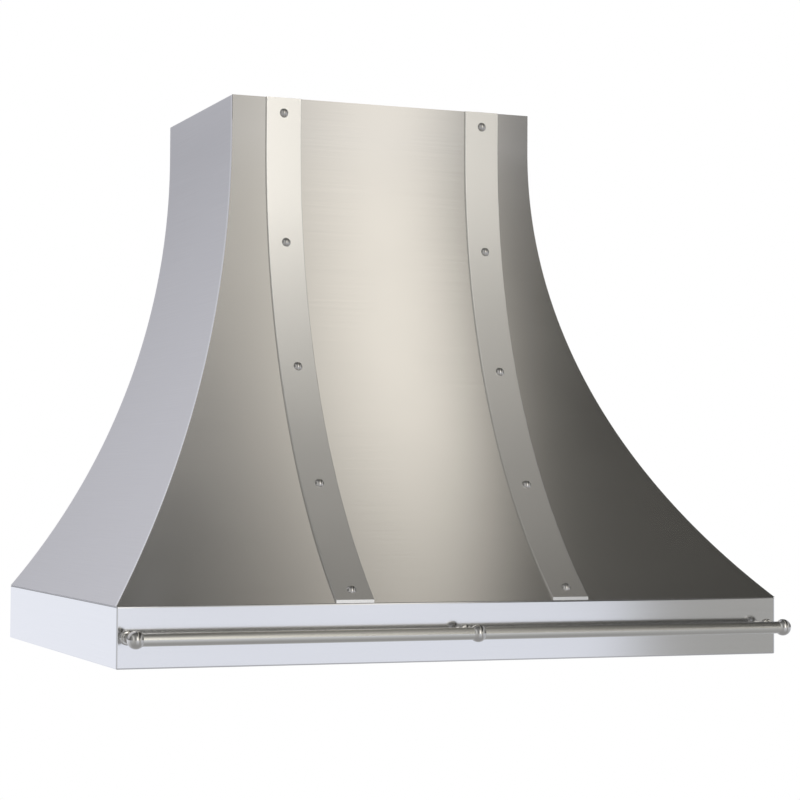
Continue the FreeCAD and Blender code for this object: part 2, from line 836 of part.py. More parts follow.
def filter_catches():
    """The magnetic catches in front of the filters, each with an arm that its filter stops against."""
    catches = []
    foot_front = -filter_front - filter_gap - catch_setback - catch_foot
    foot_back = -filter_front - filter_gap - catch_setback
    arm_low = filter_top + rest_gap
    for k in range(filter_count):
        x0 = filter_middle(k) - catch_half_width
        x1 = filter_middle(k) + catch_half_width
        foot = block(x0, x1, foot_front, foot_back, liner_top, arm_low + catch_thickness)
        arm = block(x0, x1, foot_front, -filter_front + catch_reach, arm_low, arm_low + catch_thickness)
        catches.append(join([foot, arm]))
    return catches


def filter_frame(k):
    """A filter's channel-section frame with its two rear pivot pins."""
    x0 = filter_middle(k) - filter_width / 2
    x1 = filter_middle(k) + filter_width / 2
    body = block(x0, x1, -filter_front, -filter_rear, liner_height, filter_top)
    channel = block(
        x0 + filter_wall, x1 - filter_wall, -filter_front + filter_wall, -filter_rear - filter_wall,
        liner_height + filter_wall, filter_top - filter_wall,
    )
    window = block(
        x0 + filter_flange, x1 - filter_flange, -filter_front + filter_flange, -filter_rear - filter_flange,
        liner_height - overrun, filter_top + overrun,
    )
    pins = []
    for side in (-1, 1):
        root = Vector(filter_middle(k) + side * (filter_width / 2 - filter_wall), -pivot_depth, pivot_height)
        tip = Vector(filter_middle(k) + side * filter_pin_end, -pivot_depth, pivot_height)
        pins.append(rod(filter_pin_radius, root, tip))
    return join([body.cut([channel, window])] + pins)


def baffle(x, open_up):
    """One channel-shaped baffle from front to back, open upwards or downwards."""
    y0 = -filter_front + filter_wall + seam_gap
    y1 = -filter_rear - filter_wall - seam_gap
    x0 = x - baffle_width / 2
    x1 = x + baffle_width / 2
    low = liner_height + filter_wall
    high = filter_top - filter_wall
    if open_up:
        body = block(x0, x1, y0, y1, low, low + baffle_leg)
        groove = block(x0 + baffle_sheet, x1 - baffle_sheet, y0, y1, low + baffle_sheet, low + baffle_leg)
    else:
        body = block(x0, x1, y0, y1, high - baffle_leg, high)
        groove = block(x0 + baffle_sheet, x1 - baffle_sheet, y0, y1, high - baffle_leg, high - baffle_sheet)
    return body.cut(groove)


def filter_baffles(k):
    """A filter's two staggered rows of baffles."""
    first = filter_middle(k) - (baffle_count - 1) / 2 * baffle_pitch
    lower = [baffle(first + i * baffle_pitch, True) for i in range(baffle_count)]
    upper = [baffle(first + (i + 1 / 2) * baffle_pitch, False) for i in range(baffle_count - 1)]
    return lower + upper


def filter_pulls(k):
    """A filter's two pull knobs under its front flange."""
    pulls = []
    for side in (-1, 1):
        top = Vector(filter_middle(k) + side * pull_spread, -filter_front + filter_flange / 2, liner_height)
        neck = top - Vector(0, 0, pull_stem_length)
        head = rod(pull_head_radius, neck - Vector(0, 0, pull_head_length), neck)
        head = head.makeFillet(pull_edge, [e for e in head.Edges if e.Curve.TypeId == "Part::GeomCircle"])
        pulls.append(join([head, rod(pull_stem_radius, neck - Vector(0, 0, pull_edge), top)]))
    return pulls


def lamp_spots():
    """Where the lamps' middles are, on the plan."""
    return [Vector(x, -lamp_forward, 0) for x in (-lamp_offset, lamp_offset)]


def lamp_bezel(spot):
    """The ring under the liner that holds a lamp's lens."""
    high = spot + Vector(0, 0, liner_height)
    ring = tube(lamp_bezel_radius, lamp_bezel_opening, high - Vector(0, 0, lamp_bezel_height), high)
    rim = [
        e
        for e in ring.Edges
        if e.Curve.TypeId == "Part::GeomCircle" and e.BoundBox.ZMax < liner_height - lamp_bezel_height / 2
    ]
    return ring.makeFillet(lamp_bezel_edge, rim)


def lamp_lens(spot):
    """The glass disc on the bezel's inner edge."""
    low = spot + Vector(0, 0, liner_height)
    return rod(lamp_lens_radius, low, low + Vector(0, 0, lamp_lens_height))


def lamp_can(spot):
    """The flanged cup above the liner that a lamp sits in."""
    low = spot + Vector(0, 0, liner_top)
    top = spot + Vector(0, 0, lamp_can_top)
    cup = rod(lamp_can_radius, low, top)
    flange = rod(lamp_can_radius + lamp_can_flange, low, low + Vector(0, 0, lamp_can_wall))
    roof = top - Vector(0, 0, lamp_can_wall)
    room = rod(lamp_can_radius - lamp_can_wall, low - Vector(0, 0, overrun), roof)
    return join([cup, flange]).cut(room)


def lamp_bulb(spot):
    """A reflector lamp: a cone that opens downwards, with a dished face."""
    low = spot + Vector(0, 0, liner_height + lamp_lens_height + lamp_reflector_lift)
    up = Vector(0, 0, 1)
    cone = Part.makeCone(lamp_reflector_radius, lamp_reflector_neck, lamp_reflector_height, low, up)
    mouth = lamp_reflector_radius - lamp_can_wall
    dish = Part.makeCone(mouth, lamp_reflector_neck / 2, lamp_reflector_height * lamp_dish_share, low, up)
    return cone.cut(dish)


def lamp_socket(spot):
    """The socket between a bulb and the roof of its can."""
    low = spot + Vector(0, 0, liner_height + lamp_lens_height + lamp_reflector_lift + lamp_reflector_height)
    return rod(lamp_socket_radius, low, spot + Vector(0, 0, lamp_can_top - lamp_can_wall))


def control_spots():
    """Where the two knobs' axes are, on the plan."""
    return [Vector(x, -control_forward, 0) for x in (-control_offset, control_offset)]


def control_case(spot):
    """A switch's case on the liner, with a threaded nose through it and a bore for the shaft."""
    half = control_case_half
    top = liner_top + control_case_height
    case = block(spot.x - half, spot.x + half, spot.y - half, spot.y + half, liner_top, top)
    nose = rod(control_bushing_radius, spot + Vector(0, 0, liner_height), spot + Vector(0, 0, top))
    bore = rod(
        control_shaft_radius + running_gap,
        spot + Vector(0, 0, liner_height - overrun),
        spot + Vector(0, 0, top - control_case_floor),
    )
    return join([case, nose]).cut(bore)


def control_shaft(spot):
    """The shaft from inside a switch down into its knob."""
    low = spot + Vector(0, 0, liner_height - knob_gap - knob_bore_depth)
    high = spot + Vector(0, 0, liner_top + control_case_height - control_case_floor - rest_gap)
    return rod(control_shaft_radius, low, high)


def control_knob(spot):
    """A knob with a skirt, a grip bar and a pointer groove, facing down."""
    top = liner_height - knob_gap
    skirt = rod(knob_radius, spot + Vector(0, 0, top - knob_skirt_height), spot + Vector(0, 0, top))
    skirt = skirt.makeFillet(knob_edge, [e for e in skirt.Edges if e.BoundBox.ZMax < top - knob_edge])
    nose = top - knob_height
    neck = top - knob_skirt_height
    grip = rod(knob_grip_radius, spot + Vector(0, 0, nose), spot + Vector(0, 0, neck))
    front = spot.y - knob_grip_radius
    back = spot.y + knob_grip_radius
    bar = block(spot.x - knob_grip_half, spot.x + knob_grip_half, front, back, nose, neck)
    groove = block(
        spot.x - knob_pointer_half,
        spot.x + knob_pointer_half,
        front - overrun,
        spot.y,
        nose - overrun,
        nose + knob_pointer_depth,
    )
    bore = rod(
        control_shaft_radius + shaft_press_gap,
        spot + Vector(0, 0, top - knob_bore_depth),
        spot + Vector(0, 0, top + overrun),
    )
    return join([skirt, grip.common(bar)]).cut([groove, bore])


def supply_hole():
    """The knocked-out hole through the back panel and the wiring box's back."""
    spot = Vector(box_offset, 0, box_low + box_tall / 2)
    through = Vector(0, sheet + box_wall + overrun, 0)
    return rod(supply_hole_radius, spot - through, spot + through)


def wiring_box():
    """The open tray on the back panel where the supply is joined."""
    x0 = box_offset - box_half_width
    x1 = box_offset + box_half_width
    tray = block(x0, x1, -sheet - box_deep, -sheet, box_low, box_low + box_tall)
    room = block(
        x0 + box_wall, x1 - box_wall, -sheet - box_deep - overrun, -sheet - box_wall, box_low + box_wall,
        box_low + box_tall - box_wall,
    )
    return tray.cut([room, supply_hole()])


def wiring_cover():
    """The lid over the wiring box."""
    front = -sheet - box_deep
    x0 = box_offset - box_half_width
    x1 = box_offset + box_half_width
    return block(x0, x1, front - box_wall, front, box_low, box_low + box_tall)


def wiring_screws():
    """The two screw heads on the wiring box's lid."""
    front = -sheet - box_deep - box_wall
    z = box_low + box_tall / 2
    spread = box_half_width - box_cover_screw_margin
    return [
        rod(box_cover_screw_radius, Vector(x, front - box_cover_screw_head, z), Vector(x, front, z))
        for x in (box_offset - spread, box_offset + spread)
    ]


def build_shell():
    side = right_side_panel()
    save("front_panel", front_panel())
    save("right_side_panel", side)
    save("left_side_panel", mirrored(side))
    save("back_panel", back_panel())
    save("apron", apron())
    save("top_panel", top_panel())
    for name, x in (("left", -strap_offset), ("right", strap_offset)):
        save("strap_" + name, strap(x))
        save("strap_rivets_" + name, *at_rivets(rivet(), x))


def build_rail():
    end = rail_post_offset
    save("rail_tube", rail_tube())
    save("rail_post_left", rail_post(-end, -end, -end + 2 * rail_ball_radius))
    save("rail_post_center", rail_post(0, -2 * rail_ball_radius, 2 * rail_ball_radius))
    save("rail_post_right", rail_post(end, end - 2 * rail_ball_radius, end))
    save("rail_nuts", *[rail_nut(x) for x in (-end, 0, end)])


def build_duct():
    flap = damper_flap_half(0)
    other = damper_flap_half(1)
    save("duct_collar", duct_collar())
    save("collar_flange", collar_flange_ring())
    save("collar_screws", *collar_screws())
    save("damper_rod", damper_rod())
    save("damper_flap_left", flap)
    save("damper_flap_right", mirrored(other))


def build_blower():
    housing = blower_housing()
    wheel = blower_wheel()
    save("outlet_plenum", outlet_plenum())
    save("blower_housing_right", housing)
    save("blower_housing_left", mirrored(housing))
    save("blower_wheel_right", wheel)
    save("blower_wheel_left", mirrored(wheel))
    save("motor_shaft", motor_shaft())
    save("blower_motor", blower_motor())
    save("motor_bracket", motor_bracket())


def build_underside():
    save("liner", liner())
    save("filter_hangers", *filter_hangers())
    save("filter_catches", *filter_catches())
    for k, name in enumerate(filter_names):
        save("filter_frame_" + name, filter_frame(k))
        save("filter_baffles_" + name, *filter_baffles(k))
        save("filter_pulls_" + name, *filter_pulls(k))
    save("lamp_bezels", *[lamp_bezel(spot) for spot in lamp_spots()])
    save("lamp_lenses", *[lamp_lens(spot) for spot in lamp_spots()])
    save("lamp_cans", *[lamp_can(spot) for spot in lamp_spots()])
    save("lamp_bulbs", *[lamp_bulb(spot) for spot in lamp_spots()])
    save("lamp_sockets", *[lamp_socket(spot) for spot in lamp_spots()])
    for name, spot in zip(("fan", "light"), control_spots()):
        save(name + "_switch", control_case(spot))
        save(name + "_shaft", control_shaft(spot))
        save(name + "_knob", control_knob(spot))


def build_wiring():
    save("wiring_box", wiring_box())
    save("wiring_cover", wiring_cover())
    save("wiring_screws", *wiring_screws())


os.makedirs("parts", exist_ok=True)
build_shell()
build_rail()
build_duct()
build_blower()
build_underside()
build_wiring()
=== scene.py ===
import math

import bmesh
import bpy
import numpy as np
from mathutils import Matrix


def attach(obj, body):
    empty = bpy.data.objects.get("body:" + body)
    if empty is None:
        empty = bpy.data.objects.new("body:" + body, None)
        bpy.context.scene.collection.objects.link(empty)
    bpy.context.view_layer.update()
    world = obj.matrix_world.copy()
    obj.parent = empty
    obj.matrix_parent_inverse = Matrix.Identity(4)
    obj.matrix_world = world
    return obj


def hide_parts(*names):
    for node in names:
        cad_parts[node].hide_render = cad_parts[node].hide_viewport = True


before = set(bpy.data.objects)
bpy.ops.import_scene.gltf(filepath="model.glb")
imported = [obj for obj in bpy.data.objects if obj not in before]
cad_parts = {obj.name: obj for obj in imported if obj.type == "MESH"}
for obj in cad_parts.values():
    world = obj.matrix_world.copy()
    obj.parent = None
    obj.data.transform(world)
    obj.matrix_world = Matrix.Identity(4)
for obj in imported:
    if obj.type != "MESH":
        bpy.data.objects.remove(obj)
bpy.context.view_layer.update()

# Apron: the straight band round the bottom, one strip of stainless sheet folded round three sides. A flange
# turned in at the top carries the canopy, and a lip is turned in at the bottom. Its grain runs along it.
hood_width, hood_depth, hood_height = 0.9144, 0.6096, 0.762
apron_height, sheet, seam_gap = 0.0762, 0.0015, 0.0002
apron_flange, apron_lip, apron_bend = 0.020, 0.018, 0.0020
apron_bend_steps, apron_corner_steps = 5, 6
flat_margin, rounding = 0.0003, 1e-6
seam = sheet + seam_gap


def grid_faces(rows, columns, wrap_rows=False, wrap_columns=False):
    """Quads between neighbours in a grid of points that is counted row by row; a wrapped side is a ring."""
    i = np.arange(rows if wrap_rows else rows - 1)
    j = np.arange(columns if wrap_columns else columns - 1)
    i, j = np.meshgrid(i, j, indexing="ij")
    down, right = (i + 1) % rows, (j + 1) % columns
    quads = np.stack([i * columns + j, i * columns + right, down * columns + right, down * columns + j], -1)
    return quads.reshape(-1, 4)


def capped_faces(rows, columns):
    """Faces of a grid whose columns close into a ring, with one flat or very small face over each end."""
    ends = [list(range(columns)), list(range((rows - 1) * columns, rows * columns))]
    return grid_faces(rows, columns, wrap_columns=True).tolist() + ends


def make_piece(name, points, faces, material, stands_for, body="hood", grain=None,
               edge=None, crease=32):
    """A closed mesh from an array of points and lists of corner numbers, its normals turned outwards and its
    edges sharp where faces meet at more than the crease angle. It stands for one built piece. The grain is
    kept as a UV map in metres, and the distance from an edge that gets a painted highlight as an attribute."""
    mesh = bpy.data.meshes.new(name)
    mesh.from_pydata(points.reshape(-1, 3).tolist(), [], [list(map(int, face)) for face in faces])
    work = bmesh.new()
    work.from_mesh(mesh)
    bmesh.ops.recalc_face_normals(work, faces=work.faces)
    work.to_mesh(mesh)
    work.free()
    if grain is not None:
        corner = np.empty(len(mesh.loops), np.int32)
        mesh.loops.foreach_get("vertex_index", corner)
        layer = mesh.uv_layers.new(name="grain")
        layer.data.foreach_set("uv", grain.reshape(-1, 2)[corner].astype(np.float32).ravel())
    if edge is not None:
        layer = mesh.attributes.new("edge", "FLOAT", "POINT")
        layer.data.foreach_set("value", edge.astype(np.float32).ravel())
    mesh.shade_smooth()
    mesh.set_sharp_from_angle(angle=math.radians(crease))
    mesh.materials.append(material)
    piece = bpy.data.objects.new(name, mesh)
    bpy.context.scene.collection.objects.link(piece)
    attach(piece, body)
    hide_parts(stands_for)


def set_inputs(tree, node, inputs):
    """Gives a node's inputs, by name or number, plain values or links from other nodes' outputs."""
    for name, value in inputs.items():
        if isinstance(value, bpy.types.NodeSocket):
            tree.links.new(value, node.inputs[name])
        else:
            node.inputs[name].default_value = value


def add_node(tree, kind, inputs=None, **settings):
    """A shader node with its settings and its inputs."""
    node = tree.nodes.new(kind)
    for name, value in settings.items():
        setattr(node, name, value)
    set_inputs(tree, node, inputs or {})
    return node


def new_finish(name):
    """An empty material, its node tree and its shader."""
    finish = bpy.data.materials.new(name)
    finish.use_nodes = True
    return finish, finish.node_tree, finish.node_tree.nodes["Principled BSDF"]


def noise(tree, place, scale, detail):
    """Soft noise between 0 and 1 over a set of coordinates."""
    pattern = {"Vector": place, "Scale": scale, "Detail": detail}
    return add_node(tree, "ShaderNodeTexNoise", pattern).outputs["Fac"]


def reckon(tree, operation, *terms):
    """One step of arithmetic on outputs or plain numbers."""
    return add_node(tree, "ShaderNodeMath", dict(enumerate(terms)), operation=operation).outputs[0]


def fade(tree, source, low, high, start, end, curve="LINEAR"):
    """A value that runs from start to end as its source runs from low to high, and holds beyond them."""
    span = {"Value": source, "From Min": low, "From Max": high, "To Min": start, "To Max": end}
    return add_node(tree, "ShaderNodeMapRange", span, interpolation_type=curve).outputs[0]


def relief(tree, height, strength, distance):
    """A slight bump from a height."""
    raised = {"Height": height, "Strength": strength, "Distance": distance}
    return add_node(tree, "ShaderNodeBump", raised).outputs[0]


def toned(tint, share):
    """A colour times a share, at most white."""
    return tuple(min(c * share, 1) for c in tint)


def ramp(tree, source, stops):
    """A colour that follows a value, from pairs of place and colour."""
    node = add_node(tree, "ShaderNodeValToRGB", {0: source})
    marks = node.color_ramp.elements
    while len(marks) > 1:
        marks.remove(marks[-1])
    for k, (place, colour) in enumerate(stops):
        mark = marks[0] if k == 0 else marks.new(place)
        mark.position = place
        mark.color = (*colour, 1)
    return node.outputs["Color"]


def grained_steel(name, tint, rough, spread, contrast, depth):
    """Brushed sheet: long thin noise lines along the grain's UV map change colour, roughness and height a
    little, broad soft clouds change the roughness, and the gloss is drawn out across the grain."""
    line_scale, cloud_scale, rough_share, line_height = (5.0, 1500.0, 1.0), 7.0, 0.08, 0.0004
    steel, tree, shader = new_finish(name)
    place = add_node(tree, "ShaderNodeUVMap", uv_map="grain").outputs[0]
    along = add_node(tree, "ShaderNodeMapping", {"Vector": place, "Scale": line_scale}).outputs[0]
    lines = noise(tree, along, 1.0, 3.0)
    both = reckon(tree, "ADD", lines, noise(tree, place, cloud_scale, 2.0))
    dark, light = toned(tint, 1 - contrast), toned(tint, 1 + contrast)
    set_inputs(tree, shader, {
        "Base Color": ramp(tree, lines, [(0.3, dark), (0.7, light)]),
        "Metallic": 1.0,
        "Roughness": fade(tree, both, 0.6, 1.4, rough * (1 - rough_share), rough * (1 + rough_share)),
        "Normal": relief(tree, lines, depth, line_height),
        "Anisotropic": spread,
        "Anisotropic Rotation": 0.25,
        "Tangent": add_node(tree, "ShaderNodeTangent", direction_type="UV_MAP", uv_map="grain").outputs[0],
    })
    return steel


def rounded(corner, centre, steps):
    """A quarter circle in place of a corner, from its level edge to its upright one, about a centre that
    lies in from the corner by the two given distances, sideways and up."""
    angle = np.linspace(0, math.pi / 2, steps)
    across = corner[0] + centre[0] * (1 - np.sin(angle))
    up = corner[1] + centre[1] * (1 - np.cos(angle))
    return np.stack([across, up], 1)


def band_loop():
    """The apron's section as a loop of inward distance and height: wall, rounded bends, flange and lip. A
    point close to each end of a bend keeps the flat beside it flat."""
    near = apron_bend + flat_margin
    top = rounded((0, apron_height), (apron_bend, -apron_bend), apron_bend_steps)[::-1]
    foot = rounded((0, 0), (apron_bend, apron_bend), apron_bend_steps)
    inside = np.array([
        [near, apron_height], [apron_flange, apron_height], [apron_flange, apron_height - sheet],
        [sheet, apron_height - sheet], [sheet, sheet], [apron_lip, sheet], [apron_lip, 0], [near, 0],
    ])
    return np.vstack([[[0, apron_height - near]], top, inside, foot, [[0, near]]])


def carry_band(loop):
    """The section carried from the wall round both front corners: at each corner the outer face follows an
    arc of the bend's radius about a centre that moves in with the distance, so inner faces stay mitred."""
    inward, height = loop[:, 0], loop[:, 1]
    centre = np.maximum(inward, apron_bend)
    radius = np.maximum(apron_bend - inward, 0)
    back = np.where(inward > sheet + rounding, -seam, 0)
    angle = np.linspace(math.pi, 1.5 * math.pi, apron_corner_steps)[:, None]
    x = -hood_width / 2 + centre + radius * np.cos(angle)
    y = -hood_depth + centre + radius * np.sin(angle)
    left = np.stack([x, y, np.broadcast_to(height, x.shape)], -1)
    end = np.stack([-hood_width / 2 + inward, back, height], -1)[None]
    before, after = left[:1] + np.array([0, flat_margin, 0]), left[-1:] + np.array([flat_margin, 0, 0])
    half = np.concatenate([end, before, left, after])
    mirror = half[::-1] * np.array([-1, 1, 1])
    return np.concatenate([half, mirror])


def run_lengths(points):
    """Distance along a row of points, from its first one."""
    steps = np.linalg.norm(np.diff(points, axis=0), axis=1)
    return np.concatenate([[0], np.cumsum(steps)])


def grain_map(along, across):
    """A grain map for a grid, from each row's place along the grain and each column's place across it."""
    return np.stack(np.meshgrid(along, across, indexing="ij"), -1)


apron_steel = grained_steel("apron_steel", (0.76, 0.765, 0.78), 0.10, 0.45, contrast=0.025, depth=0.002)
apron_loop = band_loop()
apron_points = carry_band(apron_loop)
make_piece("apron_band", apron_points, capped_faces(*apron_points.shape[:2]), apron_steel, "apron",
           grain=grain_map(run_lengths(apron_points[:, 0]), run_lengths(apron_loop)))

# Canopy: three stainless sheets rolled to a hollow curve, the front one cut to the sides' curve and the side
# sheets butted behind it. The front's grain runs level across, and the sides' grain runs level to the wall.
throat_width, throat_depth, bend_drop = 0.448, 0.312, 0.052
# Width of the painted highlight line along each side sheet's front edge
highlight_width = 0.007
curve_rows, rim_rows, front_columns, side_columns = 110, 3, 61, 31
hands = ((-1, "left"), (1, "right"))
bend_height = hood_height - bend_drop
canopy_rise = bend_height - apron_height
side_spread = (hood_width - throat_width) / 2
front_spread = hood_depth - throat_depth
side_radius = (side_spread**2 + canopy_rise**2) / (2 * side_spread)
front_radius = (front_spread**2 + canopy_rise**2) / (2 * front_spread)


def side_reach(inset, z):
    """How far a side sheet stands from the middle at height z: an arc that turns upright at the bend."""
    drop = np.maximum(bend_height - z, 0)
    return throat_width / 2 + side_radius - np.sqrt((side_radius + inset) ** 2 - drop**2)


def front_reach(inset, z):
    """How far the front sheet stands from the wall at height z, by the same rule."""
    drop = np.maximum(bend_height - z, 0)
    return throat_depth + front_radius - np.sqrt((front_radius + inset) ** 2 - drop**2)


def canopy_heights():
    """Heights at even steps of the front arc from the apron up to the bend, then a few up to the rim."""
    steepest = math.asin(canopy_rise / front_radius)
    arc = bend_height - front_radius * np.sin(np.linspace(steepest, 0, curve_rows))
    return np.concatenate([arc, np.linspace(bend_height, hood_height, rim_rows + 1)[1:]])


def shell_faces(rows, columns):
    """Faces of a sheet with two sides: an outer grid, an inner grid after it, and a wall round the edge."""
    outer = grid_faces(rows, columns)
    count = rows * columns
    index = np.arange(count).reshape(rows, columns)
    border = np.concatenate([index[0], index[1:, -1], index[-1, -2::-1], index[-2:0:-1, 0]])
    after = np.roll(border, -1)
    wall = np.stack([border, after, after + count, border + count], 1)
    return np.concatenate([outer, outer[:, ::-1] + count, wall])


def sheet_grain(along, up):
    """A grain map for a sheet's two sides, from points' places along the grain and rows' places across."""
    one = np.stack([along, np.broadcast_to(up[:, None], along.shape)], -1)
    return np.stack([one, one])


def front_sheet(z):
    """Outer and inner grids of the front sheet: each level line runs straight between the side curves."""
    x = np.linspace(-1, 1, front_columns)[None] * side_reach(0, z)
    sides = [np.broadcast_arrays(x, -front_reach(inset, z), z) for inset in (0, sheet)]
    return np.stack([np.stack(side, -1) for side in sides]), x


def side_sheet(z, hand):
    """Outer and inner grids of a side sheet: each level line runs from behind the front sheet to the wall.
    The hand is -1 for the left sheet and 1 for the right one."""
    y = -np.linspace(1, 0, side_columns)[None] * front_reach(seam, z)
    sides = [np.broadcast_arrays(hand * side_reach(inset, z), y, z) for inset in (0, sheet)]
    return np.stack([np.stack(side, -1) for side in sides]), y


def mixed(tree, amount, one, other):
    """A colour between two others, each an output or a plain colour. The node's sockets go by number,
    because it has several of each name."""
    return add_node(tree, "ShaderNodeMix", {0: amount, 6: one, 7: other}, data_type="RGBA").outputs[2]


def edge_highlight(steel, width):
    """A painted highlight: lightens a sheet's colour in a narrow line along the edge that its edge attribute
    measures from, where it meets its neighbour: all of the way at first, then fading out to the line's full
    width."""
    # Near-white colour painted into the base colour as a highlight along the edge
    full_share, highlight_tint = 0.4, (0.98, 0.98, 0.99, 1)
    tree = steel.node_tree
    shader = tree.nodes["Principled BSDF"]
    away = add_node(tree, "ShaderNodeAttribute", attribute_name="edge").outputs["Fac"]
    near = fade(tree, away, full_share * width, width, 1.0, 0.0, "SMOOTHSTEP")
    plain = shader.inputs["Base Color"].links[0].from_socket
    set_inputs(tree, shader, {"Base Color": mixed(tree, near, plain, highlight_tint)})


heights = canopy_heights()
levels = heights[:, None]
front_run = run_lengths(np.stack([front_reach(0, heights), heights], 1))
side_run = run_lengths(np.stack([side_reach(0, heights), heights], 1))
front_steel = grained_steel("front_steel", (0.77, 0.75, 0.71), 0.19, 1.0, contrast=0.03, depth=0.001)
side_steel = grained_steel("side_steel", (0.75, 0.75, 0.765), 0.30, 0.60, contrast=0.03, depth=0.004)
# The side sheets' front edges, where they meet the front sheet, get a painted highlight line
edge_highlight(side_steel, highlight_width)
front_points, front_across = front_sheet(levels)
make_piece("canopy_front", front_points, shell_faces(len(heights), front_columns), front_steel,
           "front_panel", grain=sheet_grain(front_across, front_run))
for side, side_name in hands:
    side_points, side_along = side_sheet(levels, side)
    side_edge = side_along + front_reach(seam, levels)
    make_piece("canopy_" + side_name, side_points, shell_faces(len(heights), side_columns), side_steel,
               side_name + "_side_panel", grain=sheet_grain(side_along, side_run),
               edge=np.stack([side_edge, side_edge]))

# Straps: two flat stainless bars rolled to the front's curve, riveted to it and trimmed upright in line with
# the apron's face. Their grain runs lengthwise, so they catch the light quite differently from the sheet.
strap_inset, strap_width, strap_thickness = 0.074, 0.0508, 0.0032
strap_edge, strap_edge_steps = 0.0005, 4
strap_offset = throat_width / 2 - strap_inset


def bar_loop():
    """The bar's section as a loop of sideways place and lift off the sheet, its two outer edges rounded."""
    edge = rounded((strap_width / 2, strap_thickness), (-strap_edge, -strap_edge), strap_edge_steps)[::-1]
    flat = [[strap_width / 2 - strap_edge - flat_margin, strap_thickness]]
    half = np.vstack([[[strap_width / 2, 0]], edge, flat])
    return np.vstack([half, half[::-1] * np.array([-1, 1])])


def rolled_bar(loop):
    """The section carried up the front's arc. Each of its lines starts where it meets the apron's front."""
    lift = loop[:, 1]
    level = throat_depth + front_radius - hood_depth
    foot = bend_height - np.sqrt((front_radius - lift) ** 2 - level**2)
    share = (levels - heights[0]) / (heights[-1] - heights[0])
    z = foot + share * (hood_height - foot)
    y = -front_reach(-lift, z)
    return np.stack([np.broadcast_to(loop[:, 0], z.shape), y, z], -1)


strap_steel = grained_steel("strap_steel", (0.86, 0.85, 0.82), 0.23, 0.76, contrast=0.015, depth=0.0006)
strap_loop = bar_loop()
strap_points = rolled_bar(strap_loop)
for side, side_name in hands:
    make_piece("bar_" + side_name, strap_points + np.array([side * strap_offset, 0, 0]),
               capped_faces(*strap_points.shape[:2]), strap_steel, "strap_" + side_name,
               grain=grain_map(front_run, run_lengths(strap_loop)))

# Rivets: polished steel dome heads, five down each strap at even steps along the curve, set square to the
# sheet with their shanks through the strap.
rivet_count, rivet_end_margin, rivet_lift = 5, 0.0215, 0.00005
rivet_radius, rivet_height, rivet_shank = 0.00635, 0.0044, 0.0024
rivet_rows, rivet_around = 14, 40
pole_angle = 0.02


def turned(profile, around):
    """A turned shape about its own Z: pairs of radius and height carried round a full circle."""
    angle = np.linspace(0, 2 * math.pi, around, endpoint=False)
    radius, height = profile[:, :1], profile[:, 1:]
    x, y = radius * np.cos(angle), radius * np.sin(angle)
    return np.stack([x, y, np.broadcast_to(height, x.shape)], -1)


def copies(points, faces, places):
    """The same closed shape at several places, each a turn and a spot, as one set of points and faces."""
    flat = points.reshape(-1, 3)
    moved = np.concatenate([flat @ np.asarray(turn).T + np.asarray(spot) for turn, spot in places])
    return moved, [[v + k * len(flat) for v in face] for k in range(len(places)) for face in faces]


def turned_copies(profile, around, places):
    """The same turned shape, closed at both ends, at several places."""
    return copies(turned(profile, around), capped_faces(len(profile), around), places)


def polished_metal(name, tint, rough, speckle):
    """Polished metal: fine noise in Object coordinates changes its roughness and, a little, its colour."""
    dark_share, rough_share = 0.95, 0.3
    metal, tree, shader = new_finish(name)
    fine = noise(tree, add_node(tree, "ShaderNodeTexCoord").outputs["Object"], speckle, 4.0)
    set_inputs(tree, shader, {
        "Base Color": ramp(tree, fine, [(0.35, toned(tint, dark_share)), (0.7, tint)]),
        "Metallic": 1.0,
        "Roughness": fade(tree, fine, 0.3, 0.7, rough * (1 - rough_share), rough * (1 + rough_share)),
    })
    return metal


def curve_place(x, run, lift):
    """The turn that sets Z square to the front sheet at a given run below the rim along its curve, and the
    spot there, lifted off the sheet."""
    angle = max(run - bend_drop, 0) / front_radius
    drop = min(run, bend_drop) + front_radius * math.sin(angle)
    out = throat_depth + front_radius * (1 - math.cos(angle))
    normal = np.array([0, -math.cos(angle), math.sin(angle)])
    turn = np.stack([np.array([1.0, 0, 0]), np.cross(normal, [1.0, 0, 0]), normal], 1)
    return turn, np.array([x, -out, hood_height - drop]) + normal * lift


def rivet_outline():
    """A rivet's outline: its domed head, an arc from near the pole to the rim, and then its shank."""
    dome = (rivet_radius**2 + rivet_height**2) / (2 * rivet_height)
    sweep = np.linspace(pole_angle, math.asin(rivet_radius / dome), rivet_rows)
    head = np.stack([dome * np.sin(sweep), rivet_height - dome * (1 - np.cos(sweep))], 1)
    return np.vstack([head, [[rivet_shank, 0], [rivet_shank, -strap_thickness - sheet]]])


rivet_metal = polished_metal("rivet_metal", (0.58, 0.565, 0.54), 0.14, 300.0)
rivet_runs = np.linspace(rivet_end_margin, front_run[-1] - rivet_end_margin, rivet_count)
for side, side_name in hands:
    rivet_spots = [curve_place(side * strap_offset, run, strap_thickness + rivet_lift) for run in rivet_runs]
    rivet_points, rivet_faces = turned_copies(rivet_outline(), rivet_around, rivet_spots)
    make_piece("rivets_" + side_name, rivet_points, rivet_faces, rivet_metal, "strap_rivets_" + side_name,
               crease=50)

# Rail: a nickel-plated tube along the apron's front for hanging utensils, buffed so that its fine lines run
# round it. Its ends sit in two turned balls and a third ball slides on its middle. Each ball has a stem and
# a rosette that a stud holds to the apron.
rail_height, rail_standoff, rail_radius = 0.0381, 0.042, 0.0079375
rail_rows, rail_around = 65, 64
ball_rows, flare_rows, bead_rows, post_around = 30, 8, 9, 48
ball_radius, stem_radius, ball_inset = 0.011, 0.0048, 0.0132
rosette_radius, rosette_depth, stem_flare, bead_radius, bead_depth = 0.009, 0.0062, 0.0022, 0.0019, 0.0021
rail_front = hood_depth + rail_standoff
ball_offset = hood_width / 2 - ball_inset
